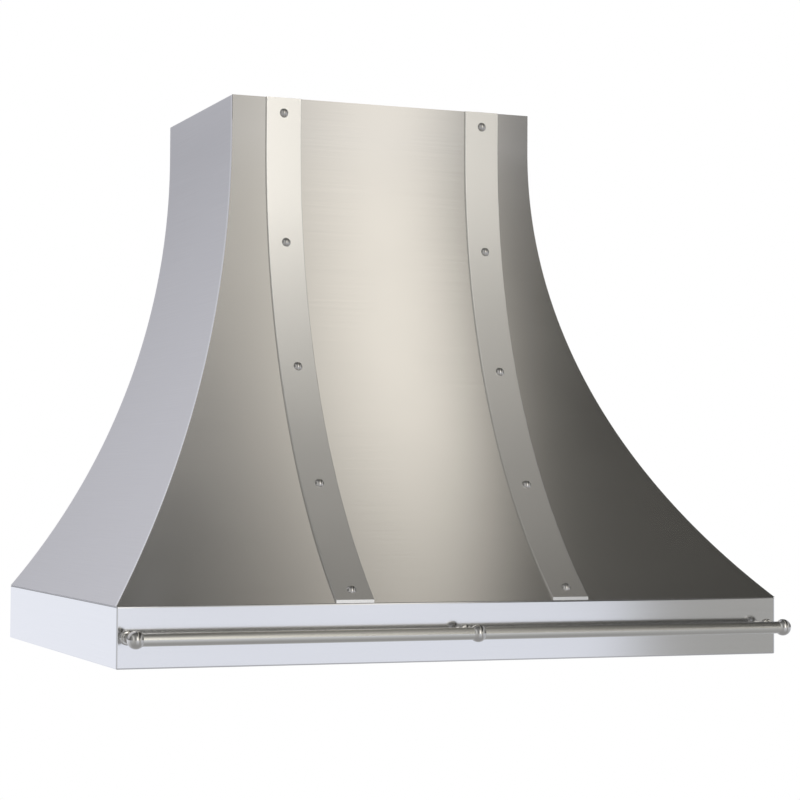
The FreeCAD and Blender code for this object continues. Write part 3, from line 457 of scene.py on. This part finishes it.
# Two turns, which point a turned shape's own Z along the hood's width and from its front to the wall
along_x = np.array([[0, 0, 1.0], [1.0, 0, 0], [0, 1.0, 0]])
towards_wall = np.array([[1.0, 0, 0], [0, 0, 1.0], [0, -1.0, 0]])


def post_profile():
    """A post's outline from the ball's front pole to the apron: ball, stem, flare and beaded rosette."""
    swing = np.linspace(pole_angle, math.pi - math.asin(stem_radius / ball_radius), ball_rows)
    ball = np.stack([ball_radius * np.sin(swing), -ball_radius * np.cos(swing)], 1)
    flare_corner = (stem_radius, rail_standoff - rosette_depth + stem_flare)
    flare = rounded(flare_corner, (stem_flare, -stem_flare), flare_rows)[::-1]
    bow = np.linspace(-math.pi / 2, math.pi / 2, bead_rows)
    waist, bead_place = rosette_radius - bead_radius, rail_standoff - bead_depth
    bead = np.stack([waist + bead_radius * np.cos(bow), bead_place + bead_radius * np.sin(bow)], 1)
    return np.vstack([ball, flare, bead, [[waist, rail_standoff]]])


rail_nickel = grained_steel("rail_nickel", (0.64, 0.635, 0.60), 0.22, 0.55, contrast=0.02, depth=0.001)
ball_nickel = polished_metal("ball_nickel", (0.62, 0.61, 0.585), 0.04, 90.0)
rail_places = np.linspace(-ball_offset, ball_offset, rail_rows)
rail_girth = np.arange(rail_around) * 2 * math.pi * rail_radius / rail_around
rail_tube = turned(np.stack([np.full(rail_rows, rail_radius), rail_places], 1), rail_around).reshape(-1, 3)
make_piece("rail_bar", rail_tube @ along_x.T + np.array([0, -rail_front, rail_height]),
           capped_faces(rail_rows, rail_around), rail_nickel, "rail_tube",
           grain=grain_map(rail_places, rail_girth)[..., ::-1])
posts = post_profile()
post_points = turned(posts, post_around).reshape(-1, 3) @ towards_wall.T
for post_name, x in (("left", -ball_offset), ("center", 0.0), ("right", ball_offset)):
    make_piece("ball_post_" + post_name, post_points + np.array([x, -rail_front, rail_height]),
               capped_faces(len(posts), post_around), ball_nickel, "rail_post_" + post_name,
               crease=40)

# Back panel and rail nuts: the flat stainless sheet that closes the hood at the wall, with its fixing holes,
# and the plated nuts that pull the rail's studs tight behind the apron. Both keep their built shape.


def milled_metal(name, tint, rough, stretch, contrast=0.05):
    """Milled sheet: noise in Object coordinates, stretched along the grain, changes colour, roughness and
    height a little, and a broad soft noise lays faint handling marks over it."""
    mark_scale, rough_change, line_strength, line_height = 9.0, 0.06, 0.03, 0.0004
    metal, tree, shader = new_finish(name)
    place = add_node(tree, "ShaderNodeTexCoord").outputs["Object"]
    along = add_node(tree, "ShaderNodeMapping", {"Vector": place, "Scale": stretch}).outputs[0]
    lines = noise(tree, along, 1.0, 3.0)
    both = reckon(tree, "ADD", lines, noise(tree, place, mark_scale, 3.0))
    set_inputs(tree, shader, {
        "Base Color": ramp(tree, lines, [(0.3, toned(tint, 1 - contrast)), (0.7, tint)]),
        "Metallic": 1.0,
        "Roughness": fade(tree, both, 0.6, 1.4, rough - rough_change, rough + rough_change),
        "Normal": relief(tree, lines, line_strength, line_height),
    })
    return metal


def dress(material, *names):
    """Gives the named built pieces one finish."""
    for name in names:
        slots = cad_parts[name].data.materials
        slots.clear()
        slots.append(material)


back_steel = milled_metal("back_steel", (0.66, 0.66, 0.67), 0.38, (8.0, 40.0, 900.0))
zinc_plate = milled_metal("zinc_plate", (0.70, 0.70, 0.71), 0.34, (220.0, 220.0, 220.0), contrast=0.15)
dress(back_steel, "back_panel")
dress(zinc_plate, "rail_nuts")

# Top panel and duct outlet: a stainless sheet set below the rim with a round hole, a zinc-plated flange ring
# screwed down on it and the collar that the duct slides over. Two half-disc flaps on a rod rest on a stop
# bead inside the collar.
top_drop, flange_outer, flange_thickness, flange_edge = 0.072, 0.116, 0.0015, 0.0003
collar_outer, collar_wall, collar_height, duct_around = 0.101, 0.001, 0.0605, 128
stop_rise, stop_depth, stop_half, shoulder_depth, shoulder_half = 0.0187, 0.0030, 0.0010, 0.0024, 0.0007
screw_count, screw_radius, screw_height, screw_shank = 8, 0.0036, 0.0022, 0.0018
screw_around, screw_rim_rows = 20, 6
duct_depth = throat_depth / 2
flange_foot = hood_height - top_drop + sheet
collar_foot = flange_foot + flange_thickness
collar_top = collar_foot + collar_height
collar_inner = collar_outer - collar_wall
stop_height = collar_foot + stop_rise
stop_shoulder = collar_inner - shoulder_depth
screw_ring = (collar_outer + flange_outer) / 2


def ring_faces(rows, around):
    """Faces of a turned ring, whose outline is itself a closed loop."""
    return grid_faces(rows, around, wrap_rows=True, wrap_columns=True)


def screw_profile():
    """A pan head's outline: its recess, in shares of the head, its rounded rim and then the shank."""
    recess_shares, rim_share = np.array([[0.05, 0.55], [0.35, 0.6], [0.5, 1.0]]), 0.4
    recess = recess_shares * np.array([screw_radius, screw_height])
    rim_radius = rim_share * screw_height
    rim = rounded((screw_radius, screw_height), (-rim_radius, -rim_radius), screw_rim_rows)
    shank = [[screw_radius, 0], [screw_shank, 0], [screw_shank, -flange_thickness]]
    return np.vstack([recess, rim, shank])


top_steel = milled_metal("top_steel", (0.66, 0.66, 0.67), 0.36, (8.0, 900.0, 40.0))
duct_zinc = milled_metal("duct_zinc", (0.72, 0.73, 0.74), 0.30, (60.0, 60.0, 500.0), contrast=0.10)
shaft_steel = polished_metal("shaft_steel", (0.60, 0.60, 0.61), 0.24, 200.0)
dress(top_steel, "top_panel")
dress(duct_zinc, "damper_flap_left", "damper_flap_right")
dress(shaft_steel, "damper_rod")
collar_loop = np.array([
    [collar_outer, collar_foot], [collar_outer, collar_top], [collar_inner, collar_top],
    [collar_inner, stop_height + stop_half], [stop_shoulder, stop_height + shoulder_half],
    [collar_inner - stop_depth, stop_height], [stop_shoulder, stop_height - shoulder_half],
    [collar_inner, stop_height - stop_half], [collar_inner, collar_foot],
])
flange_loop = np.array([
    [collar_inner, flange_foot], [flange_outer, flange_foot], [flange_outer, collar_foot - flange_edge],
    [flange_outer - flange_edge, collar_foot], [collar_inner, collar_foot],
])
for ring_name, loop, node_name in (("duct_ring", collar_loop, "duct_collar"),
                                   ("duct_flange", flange_loop, "collar_flange")):
    make_piece(ring_name, turned(loop, duct_around) + np.array([0, -duct_depth, 0]),
               ring_faces(len(loop), duct_around), duct_zinc, node_name)
screw_angles = (np.arange(screw_count) + 0.5) * 2 * math.pi / screw_count
screw_places = [(screw_ring * math.cos(angle), screw_ring * math.sin(angle)) for angle in screw_angles]
screw_spots = [(np.eye(3), (x, y - duct_depth, collar_foot)) for x, y in screw_places]
screw_points, screw_faces = turned_copies(screw_profile(), screw_around, screw_spots)
make_piece("duct_screws", screw_points, screw_faces, zinc_plate, "collar_screws")

# Blower: two scroll housings of galvanised sheet under an outlet plenum, with a squirrel-cage wheel in each,
# on one shaft through a black motor that a band bracket holds between them. All keep their built shape.


def galvanised(name, tint):
    """Zinc-dipped sheet: cells of a Voronoi pattern in Object coordinates spangle its colour and gloss."""
    cell_scale, dark_share, rough_low, rough_high = 140.0, 0.82, 0.32, 0.48
    zinc, tree, shader = new_finish(name)
    place = add_node(tree, "ShaderNodeTexCoord").outputs["Object"]
    cells = add_node(tree, "ShaderNodeTexVoronoi", {"Vector": place, "Scale": cell_scale}).outputs["Color"]
    set_inputs(tree, shader, {
        "Base Color": ramp(tree, cells, [(0.0, toned(tint, dark_share)), (1.0, tint)]),
        "Metallic": 1.0,
        "Roughness": fade(tree, cells, 0.0, 1.0, rough_low, rough_high),
    })
    return zinc


def painted(name, tint, rough, grit=900.0):
    """A moulded or baked-on coat: fine noise in Object coordinates shades its colour and adds grit."""
    dark_share, grit_strength, grit_height = 0.8, 0.12, 0.0003
    coat, tree, shader = new_finish(name)
    fine = noise(tree, add_node(tree, "ShaderNodeTexCoord").outputs["Object"], grit, 2.0)
    set_inputs(tree, shader, {
        "Base Color": ramp(tree, fine, [(0.3, toned(tint, dark_share)), (0.7, tint)]),
        "Roughness": rough,
        "Normal": relief(tree, fine, grit_strength, grit_height),
    })
    return coat


blower_zinc = galvanised("blower_zinc", (0.70, 0.71, 0.73))
wheel_zinc = milled_metal("wheel_zinc", (0.68, 0.69, 0.70), 0.36, (60.0, 400.0, 400.0))
motor_black = painted("motor_black", (0.035, 0.035, 0.038), 0.42)
dress(blower_zinc, "outlet_plenum", "blower_housing_left", "blower_housing_right", "motor_bracket")
dress(wheel_zinc, "blower_wheel_left", "blower_wheel_right")
dress(motor_black, "blower_motor")
dress(shaft_steel, "motor_shaft")

# Liner: the stainless pan that closes the underside, with openings for three filters, two lamps and two
# controls. Its flange is turned up inside the apron, and its grain runs from side to side.
liner_steel = milled_metal("liner_steel", (0.64, 0.64, 0.65), 0.30, (7.0, 1100.0, 60.0))
dress(liner_steel, "liner")

# Filters: three stainless frames with lapped U baffles. Each hooks on two hangers at the back and is held by
# a catch at the front, and two turned pull knobs near its front edge swing it down and lift it out.
filter_count, filter_side_margin, liner_height = 3, 0.0312, 0.048
pull_offset, pull_depth, pull_stem_length, pull_head_length = 0.070, 0.441, 0.008, 0.009
pull_radius, pull_stem_radius, pull_edge, pull_fillet, pull_crown = 0.008, 0.003, 0.0018, 0.001, 0.0002
pull_around, edge_steps = 40, 7
pole_radius = 0.0003
filter_pitch = (hood_width - 2 * filter_side_margin) / filter_count
pull_neck = liner_height - pull_stem_length
pull_foot = pull_neck - pull_head_length


def pull_profile():
    """A pull knob's outline from its crowned face over two rounded edges to its stem."""
    rim = pull_foot + pull_crown
    lower = rounded((pull_radius, rim), (-pull_edge, pull_edge), edge_steps)
    upper = rounded((pull_radius, pull_neck), (-pull_edge, -pull_edge), edge_steps)[::-1]
    stem = [[pull_stem_radius + pull_fillet, pull_neck], [pull_stem_radius, pull_neck + pull_fillet],
            [pull_stem_radius, liner_height]]
    return np.vstack([[[pole_radius, pull_foot]], lower, upper, stem])


frame_steel = milled_metal("frame_steel", (0.66, 0.66, 0.66), 0.30, (60.0, 8.0, 900.0))
baffle_steel = milled_metal("baffle_steel", (0.64, 0.64, 0.645), 0.27, (900.0, 6.0, 60.0))
knob_steel = polished_metal("knob_steel", (0.66, 0.655, 0.65), 0.18, 250.0)
dress(frame_steel, "filter_hangers")
dress(painted("catch_black", (0.05, 0.05, 0.055), 0.45), "filter_catches")
for filter_name, x in (("left", -filter_pitch), ("center", 0.0), ("right", filter_pitch)):
    dress(frame_steel, "filter_frame_" + filter_name)
    dress(baffle_steel, "filter_baffles_" + filter_name)
    pull_spots = [(np.eye(3), (x + side * pull_offset, -pull_depth, 0)) for side in (-1, 1)]
    pull_points, pull_faces = turned_copies(pull_profile(), pull_around, pull_spots)
    make_piece("pulls_" + filter_name, pull_points, pull_faces, knob_steel, "filter_pulls_" + filter_name,
               body="filter_" + filter_name, crease=40)

# Lamps: two recessed lights. A bright steel can fixed above the liner holds a ceramic socket and a frosted
# bulb, and a turned steel bezel below holds the frosted lens.
lamp_side_margin, lamp_front_margin = 0.1572, 0.0796
bezel_inner, bezel_outer, bezel_height = 0.033, 0.046, 0.003
bezel_edge, bezel_slope, bezel_lip, bezel_lip_height = 0.0022, 0.002, 0.0008, 0.0006
lens_radius, lens_height, lens_edge = 0.0365, 0.003, 0.0004
bezel_around, lens_around = 72, 64
lamp_offset = hood_width / 2 - lamp_side_margin
lamp_depth = hood_depth - lamp_front_margin
bezel_foot = liner_height - bezel_height
lens_top = liner_height + lens_height


def bezel_loop():
    """The bezel's section: a flat face, rounded at its outer edge, that slopes up into the lamp's mouth."""
    rim = rounded((bezel_outer, bezel_foot), (-bezel_edge, bezel_edge), edge_steps)
    mouth = [[bezel_inner, liner_height], [bezel_inner + bezel_lip, bezel_foot + bezel_lip_height],
             [bezel_inner + bezel_slope, bezel_foot]]
    return np.vstack([mouth, rim, [[bezel_outer, liner_height]]])


def lens_profile():
    """The lens's outline: a flat disc with bevelled edges, closed near its axis at both ends."""
    flat = lens_radius - lens_edge
    return np.array([
        [pole_radius, liner_height], [flat, liner_height], [lens_radius, liner_height + lens_edge],
        [lens_radius, lens_top - lens_edge], [flat, lens_top], [pole_radius, lens_top],
    ])


def frosted_glass(name, tint, rough):
    """Frosted glass: fine noise in Object coordinates gives a grain to its roughness and its surface."""
    frost_scale, rough_change, frost_strength, frost_height = 700.0, 0.1, 0.1, 0.0003
    glass, tree, shader = new_finish(name)
    fine = noise(tree, add_node(tree, "ShaderNodeTexCoord").outputs["Object"], frost_scale, 2.0)
    set_inputs(tree, shader, {
        "Base Color": (*tint, 1),
        "Transmission Weight": 0.9,
        "Roughness": fade(tree, fine, 0.3, 0.7, rough - rough_change, rough + rough_change),
        "Normal": relief(tree, fine, frost_strength, frost_height),
    })
    return glass


lens_glass = frosted_glass("lens_glass", (0.93, 0.95, 0.95), 0.42)
lamp_spots = [(np.eye(3), (side * lamp_offset, -lamp_depth, 0)) for side in (-1, 1)]
bezel_section = bezel_loop()
bezel_quads = ring_faces(len(bezel_section), bezel_around)
bezel_points, bezel_faces = copies(turned(bezel_section, bezel_around), bezel_quads, lamp_spots)
make_piece("bezel_rings", bezel_points, bezel_faces, knob_steel, "lamp_bezels", crease=40)
lens_points, lens_faces = turned_copies(lens_profile(), lens_around, lamp_spots)
make_piece("lens_discs", lens_points, lens_faces, lens_glass, "lamp_lenses")
dress(polished_metal("can_steel", (0.74, 0.74, 0.74), 0.20, 80.0), "lamp_cans")
dress(frosted_glass("bulb_glass", (0.96, 0.95, 0.92), 0.45), "lamp_bulbs")
dress(painted("socket_ceramic", (0.80, 0.78, 0.74), 0.35, 400.0), "lamp_sockets")

# Controls: a fan and a light switch fixed above the liner, each with a steel shaft through it and a turned
# steel knob. A bar across the knob is the finger grip, with a dark line filled into its front half to point.
control_offset, control_front_margin = 0.055, 0.0696
knob_gap, knob_height, skirt_radius, skirt_height, skirt_edge = 0.001, 0.017, 0.016, 0.005, 0.0018
grip_half, grip_radius, grip_edge, grip_sink = 0.004, 0.013, 0.0012, 0.0005
pointer_half, pointer_start = 0.0008, 0.002
knob_around, grip_rows, grip_power = 56, 8, 0.45
control_depth = hood_depth - control_front_margin
skirt_top = liner_height - knob_gap
skirt_foot = skirt_top - skirt_height
grip_foot = skirt_top - knob_height


def skirt_profile():
    """The knob's skirt: a low disc with a rounded lower edge, closed near its axis at both ends."""
    edge = rounded((skirt_radius, skirt_foot), (-skirt_edge, skirt_edge), edge_steps)
    top = [[skirt_radius, skirt_top], [pole_radius, skirt_top]]
    return np.vstack([[[pole_radius, skirt_foot]], edge, top])


def squared(value):
    """A sine or cosine raised to a power below one with its sign kept, which fills out an oval's corners."""
    return np.sign(value) * np.abs(value) ** grip_power


def grip_surface():
    """The grip bar: a superellipse outline, narrow across and long from front to back, carried down from
    inside the skirt and drawn in by a quarter circle at its foot."""
    angle = np.linspace(0, 2 * math.pi, knob_around, endpoint=False)
    bow = np.linspace(0, math.pi / 2, grip_rows - 1)
    draw = np.concatenate([[0], grip_edge * (1 - np.cos(bow))])[:, None]
    height = np.concatenate([[skirt_foot + grip_sink], grip_foot + grip_edge * (1 - np.sin(bow))])[:, None]
    x = (grip_half - draw) * squared(np.cos(angle))
    y = (grip_radius - draw) * squared(np.sin(angle))
    return np.stack([x, y, np.broadcast_to(height, x.shape)], -1)


def pointer_steel(name, tint, line_tint):
    """Turned knob steel with fine noise in its gloss, dark along a narrow line on each knob's front half:
    within the line's half width of the knob's axis in X, and in front of the axis in Y."""
    fine_scale, rough_low, rough_high = 260.0, 0.17, 0.27
    steel, tree, shader = new_finish(name)
    place = add_node(tree, "ShaderNodeTexCoord").outputs["Object"]
    parts = add_node(tree, "ShaderNodeSeparateXYZ", {0: place})
    across = reckon(tree, "SUBTRACT", reckon(tree, "ABSOLUTE", parts.outputs["X"]), control_offset)
    line = reckon(tree, "LESS_THAN", reckon(tree, "ABSOLUTE", across), pointer_half)
    front = reckon(tree, "LESS_THAN", parts.outputs["Y"], -control_depth - pointer_start)
    set_inputs(tree, shader, {
        "Base Color": ramp(tree, reckon(tree, "MULTIPLY", line, front), [(0.0, tint), (1.0, line_tint)]),
        "Metallic": 1.0,
        "Roughness": fade(tree, noise(tree, place, fine_scale, 3.0), 0.3, 0.7, rough_low, rough_high),
    })
    return steel


control_steel = pointer_steel("control_steel", (0.62, 0.615, 0.61), (0.012, 0.012, 0.013))
skirt_outline = skirt_profile()
skirt_points = turned(skirt_outline, knob_around).reshape(-1, 3)
knob_points = np.concatenate([skirt_points, grip_surface().reshape(-1, 3)])
knob_faces = capped_faces(len(skirt_outline), knob_around)
knob_faces += [[v + len(skirt_points) for v in face] for face in capped_faces(grip_rows, knob_around)]
for control_name, side in (("fan", -1), ("light", 1)):
    make_piece(control_name + "_dial", knob_points + np.array([side * control_offset, -control_depth, 0]),
               knob_faces, control_steel, control_name + "_knob", body=control_name + "_control",
               crease=40)
    dress(shaft_steel, control_name + "_shaft")
    dress(motor_black, control_name + "_switch")

# Wiring box: a folded galvanised box on the back panel where the house supply is joined, with a cover and
# its plated screws, in reach once the filters are out.
dress(blower_zinc, "wiring_box", "wiring_cover")
dress(zinc_plate, "wiring_screws")

# Studio: a pale round floor well below that fades out to its rim, a far dome that lights the hood as lamps
# and walls do, and a plain white world, which is the background that the camera and the glass see.
floor_drop, floor_radius, floor_hole, floor_rows, floor_around = 3.2, 7.0, 0.01, 25, 72
fade_start_share, fade_end_share = 0.3, 0.95
dome_radius, dome_pole, dome_rows, dome_around = 60.0, 0.001, 49, 96


def add_stage(name, points, faces, material):
    """A mesh of the studio, which isn't part of the object."""
    mesh = bpy.data.meshes.new(name)
    mesh.from_pydata(points.reshape(-1, 3).tolist(), [], faces)
    mesh.materials.append(material)
    thing = bpy.data.objects.new(name, mesh)
    bpy.context.scene.collection.objects.link(thing)
    return thing


def floor_paint():
    """Pale matt paint that glows a little and turns clear with the distance from the floor's middle."""
    paint, tree, shader = new_finish("floor_paint")
    place = add_node(tree, "ShaderNodeTexCoord").outputs["Object"]
    level = {"Vector": place, "Location": (0, 0, floor_drop)}
    middle = add_node(tree, "ShaderNodeMapping", level).outputs[0]
    away = add_node(tree, "ShaderNodeVectorMath", {0: middle}, operation="LENGTH").outputs["Value"]
    fade_start, fade_end = fade_start_share * floor_radius, fade_end_share * floor_radius
    set_inputs(tree, shader, {
        "Base Color": (0.86, 0.86, 0.86, 1),
        "Roughness": 0.9,
        "Emission Color": (1, 1, 1, 1),
        "Emission Strength": 0.5,
        "Alpha": fade(tree, away, fade_start, fade_end, 1.0, 0.0, "SMOOTHSTEP"),
    })
    return paint


def dome_surface():
    """A sphere about the origin: rows of latitude from pole to pole and columns of longitude."""
    tilt = np.linspace(-math.pi / 2 + dome_pole, math.pi / 2 - dome_pole, dome_rows)
    return turned(dome_radius * np.stack([np.cos(tilt), np.sin(tilt)], 1), dome_around)


def dome_light():
    """Light by direction. In front, from left to right: a side light, a dim stretch, a softbox that fades
    with height, a tall bright strip that leans a little, a dark gap with a fill low in it and a faint glow
    at its top, and a second side light. Behind: a wall that brightens upwards, with a roof that is dark over
    the strip and the gap. Below the horizon: a bluish white band, greyer on the left and below the gap,
    which dims further down."""
    strip_lean = 0.013
    light, tree, shader = new_finish("dome_light")
    tree.nodes.remove(shader)
    place = add_node(tree, "ShaderNodeTexCoord").outputs["Object"]
    unit = add_node(tree, "ShaderNodeVectorMath", {0: place}, operation="NORMALIZE").outputs[0]
    parts = add_node(tree, "ShaderNodeSeparateXYZ", {0: unit})
    back, up = parts.outputs["Y"], parts.outputs["Z"]
    sideways = reckon(tree, "MULTIPLY_ADD", parts.outputs["X"], 0.5, 0.5)
    leaning = reckon(tree, "MULTIPLY_ADD", reckon(tree, "POWER", up, 2.0), -strip_lean, sideways)

    def side_ramp(stops, across=sideways):
        """A ramp over the sideways part of the direction, from -1 on the left to 1 on the right."""
        return ramp(tree, across, [((x + 1) / 2, toned(tone, level)) for x, level, tone in stops])

    def soft_fade(source, low, high, start, end):
        """A change of value with soft ends between two places."""
        return fade(tree, source, low, high, start, end, "SMOOTHSTEP")

    def scaled(colour, amount):
        """A light times an amount."""
        inputs = {0: colour, "Scale": amount}
        return add_node(tree, "ShaderNodeVectorMath", inputs, operation="SCALE").outputs[0]

    def summed(one, other):
        """Two lights added together."""
        return add_node(tree, "ShaderNodeVectorMath", {0: one, 1: other}, operation="ADD").outputs[0]

    warm, cool, dusk, plain = (1.0, 0.965, 0.91), (0.91, 0.93, 1.0), (1.0, 0.985, 0.935), (1.0, 1.0, 1.0)
    sky, deep_grey, back_white = (0.94, 0.94, 1.0), (0.42, 0.42, 0.43, 1), (0.95, 0.97, 1.04, 1)
    strip = side_ramp([
        (-1.0, 0.30, plain), (-0.80, 0.42, plain), (-0.70, 0.80, plain), (-0.55, 0.50, plain),
        (-0.42, 0.28, plain), (-0.20, 0.24, plain), (0.255, 0.20, plain), (0.30, 0.49, warm),
        (0.35, 1.0, warm), (0.368, 1.0, warm), (0.4025, 0.12, dusk), (0.4245, 0.055, dusk),
        (0.60, 0.05, dusk), (0.70, 0.20, plain), (0.80, 0.75, plain), (1.0, 0.25, plain),
    ], leaning)
    box = side_ramp([
        (-1.0, 0.0, plain), (-0.17, 0.0, plain), (-0.10, 0.36, warm), (0.06, 0.36, warm), (0.10, 1.0, warm),
        (0.23, 1.0, warm), (0.265, 0.0, plain), (1.0, 0.0, plain),
    ])
    fill = side_ramp([
        (-1.0, 0.0, plain), (0.49, 0.0, plain), (0.53, 0.80, warm), (0.64, 0.80, warm), (0.70, 0.0, plain),
        (1.0, 0.0, plain),
    ])
    glow = side_ramp([
        (-1.0, 0.0, plain), (0.39, 0.0, dusk), (0.42, 0.075, dusk), (0.60, 0.075, dusk), (0.66, 0.0, dusk),
        (1.0, 0.0, plain),
    ])
    roof = side_ramp([
        (-1.0, 1.0, sky), (0.06, 1.0, sky), (0.18, 0.14, sky), (0.62, 0.14, sky), (0.74, 1.0, sky),
        (1.0, 1.0, sky),
    ])
    band = side_ramp([
        (-1.0, 0.65, cool), (-0.70, 0.65, plain), (-0.50, 0.55, plain), (-0.20, 0.55, plain),
        (-0.08, 1.0, cool), (0.452, 1.0, cool), (0.475, 0.43, dusk), (0.64, 0.42, dusk), (0.72, 0.80, cool),
        (1.0, 0.80, cool),
    ])
    front = scaled(strip, soft_fade(back, -0.68, 0.15, 1.20, 0.58))
    front = summed(front, scaled(box, fade(tree, up, 0.36, 0.86, 2.15, 0.0)))
    front = summed(front, scaled(fill, soft_fade(up, 0.20, 0.55, 1.0, 0.0)))
    front = summed(front, scaled(glow, soft_fade(up, 0.75, 0.95, 0.0, 1.0)))
    wall = mixed(tree, soft_fade(up, 0.10, 0.42, 0.0, 1.0), (*sky, 1), roof)
    wall = scaled(wall, soft_fade(up, 0.02, 0.34, 0.29, 0.78))
    upper = mixed(tree, soft_fade(back, 0.22, 0.47, 0.0, 1.0), front, wall)
    lower = mixed(tree, soft_fade(back, 0.0, 0.4, 0.0, 1.0), band, back_white)
    lower = mixed(tree, fade(tree, up, -0.90, -0.12, 1.0, 0.0), lower, deep_grey)
    whole = mixed(tree, soft_fade(up, -0.03, 0.03, 0.0, 1.0), lower, upper)
    emission = add_node(tree, "ShaderNodeEmission", {"Color": whole}).outputs[0]
    set_inputs(tree, tree.nodes["Material Output"], {"Surface": emission})
    light.cycles.emission_sampling = "NONE"
    return light


floor_reach = np.linspace(floor_hole, floor_radius, floor_rows)
floor_rings = np.stack([floor_reach, np.full(floor_rows, -floor_drop)], 1)
# A floor of rings needs only the small cap at its middle, not the one over its rim
floor_faces = capped_faces(floor_rows, floor_around)[:-1]
floor = add_stage("floor", turned(floor_rings, floor_around), floor_faces, floor_paint())
floor.visible_glossy = False
dome = add_stage("dome", dome_surface(), capped_faces(dome_rows, dome_around), dome_light())
dome.visible_camera = False
dome.visible_transmission = False
dome.visible_shadow = False
world = bpy.data.worlds.new("white_room")
world.use_nodes = True
set_inputs(world.node_tree, world.node_tree.nodes["Background"], {"Color": (1, 1, 1, 1), "Strength": 1.0})
bpy.context.scene.world = world
bpy.context.scene.view_settings.view_transform = "Standard"

# Camera: where the photograph was taken from, found from the hood's own corners. It stands low and to the
# left, tips up a little and leans slightly.
camera_place = (-1.13969, -3.23803, 0.21917)
camera_yaw, camera_pitch, camera_roll = math.radians(21.742), math.radians(2.2914), math.radians(0.3498)
camera_data = bpy.data.cameras.new("camera")
camera_data.sensor_width = 36.0
camera_data.lens = 100.42
camera_data.clip_end = 200.0
camera = bpy.data.objects.new("camera", camera_data)
turn = (Matrix.Rotation(-camera_yaw, 4, "Z") @ Matrix.Rotation(math.pi / 2 + camera_pitch, 4, "X")
        @ Matrix.Rotation(camera_roll, 4, "Z"))
camera.matrix_world = Matrix.Translation(camera_place) @ turn
bpy.context.scene.collection.objects.link(camera)
bpy.context.scene.camera = camera
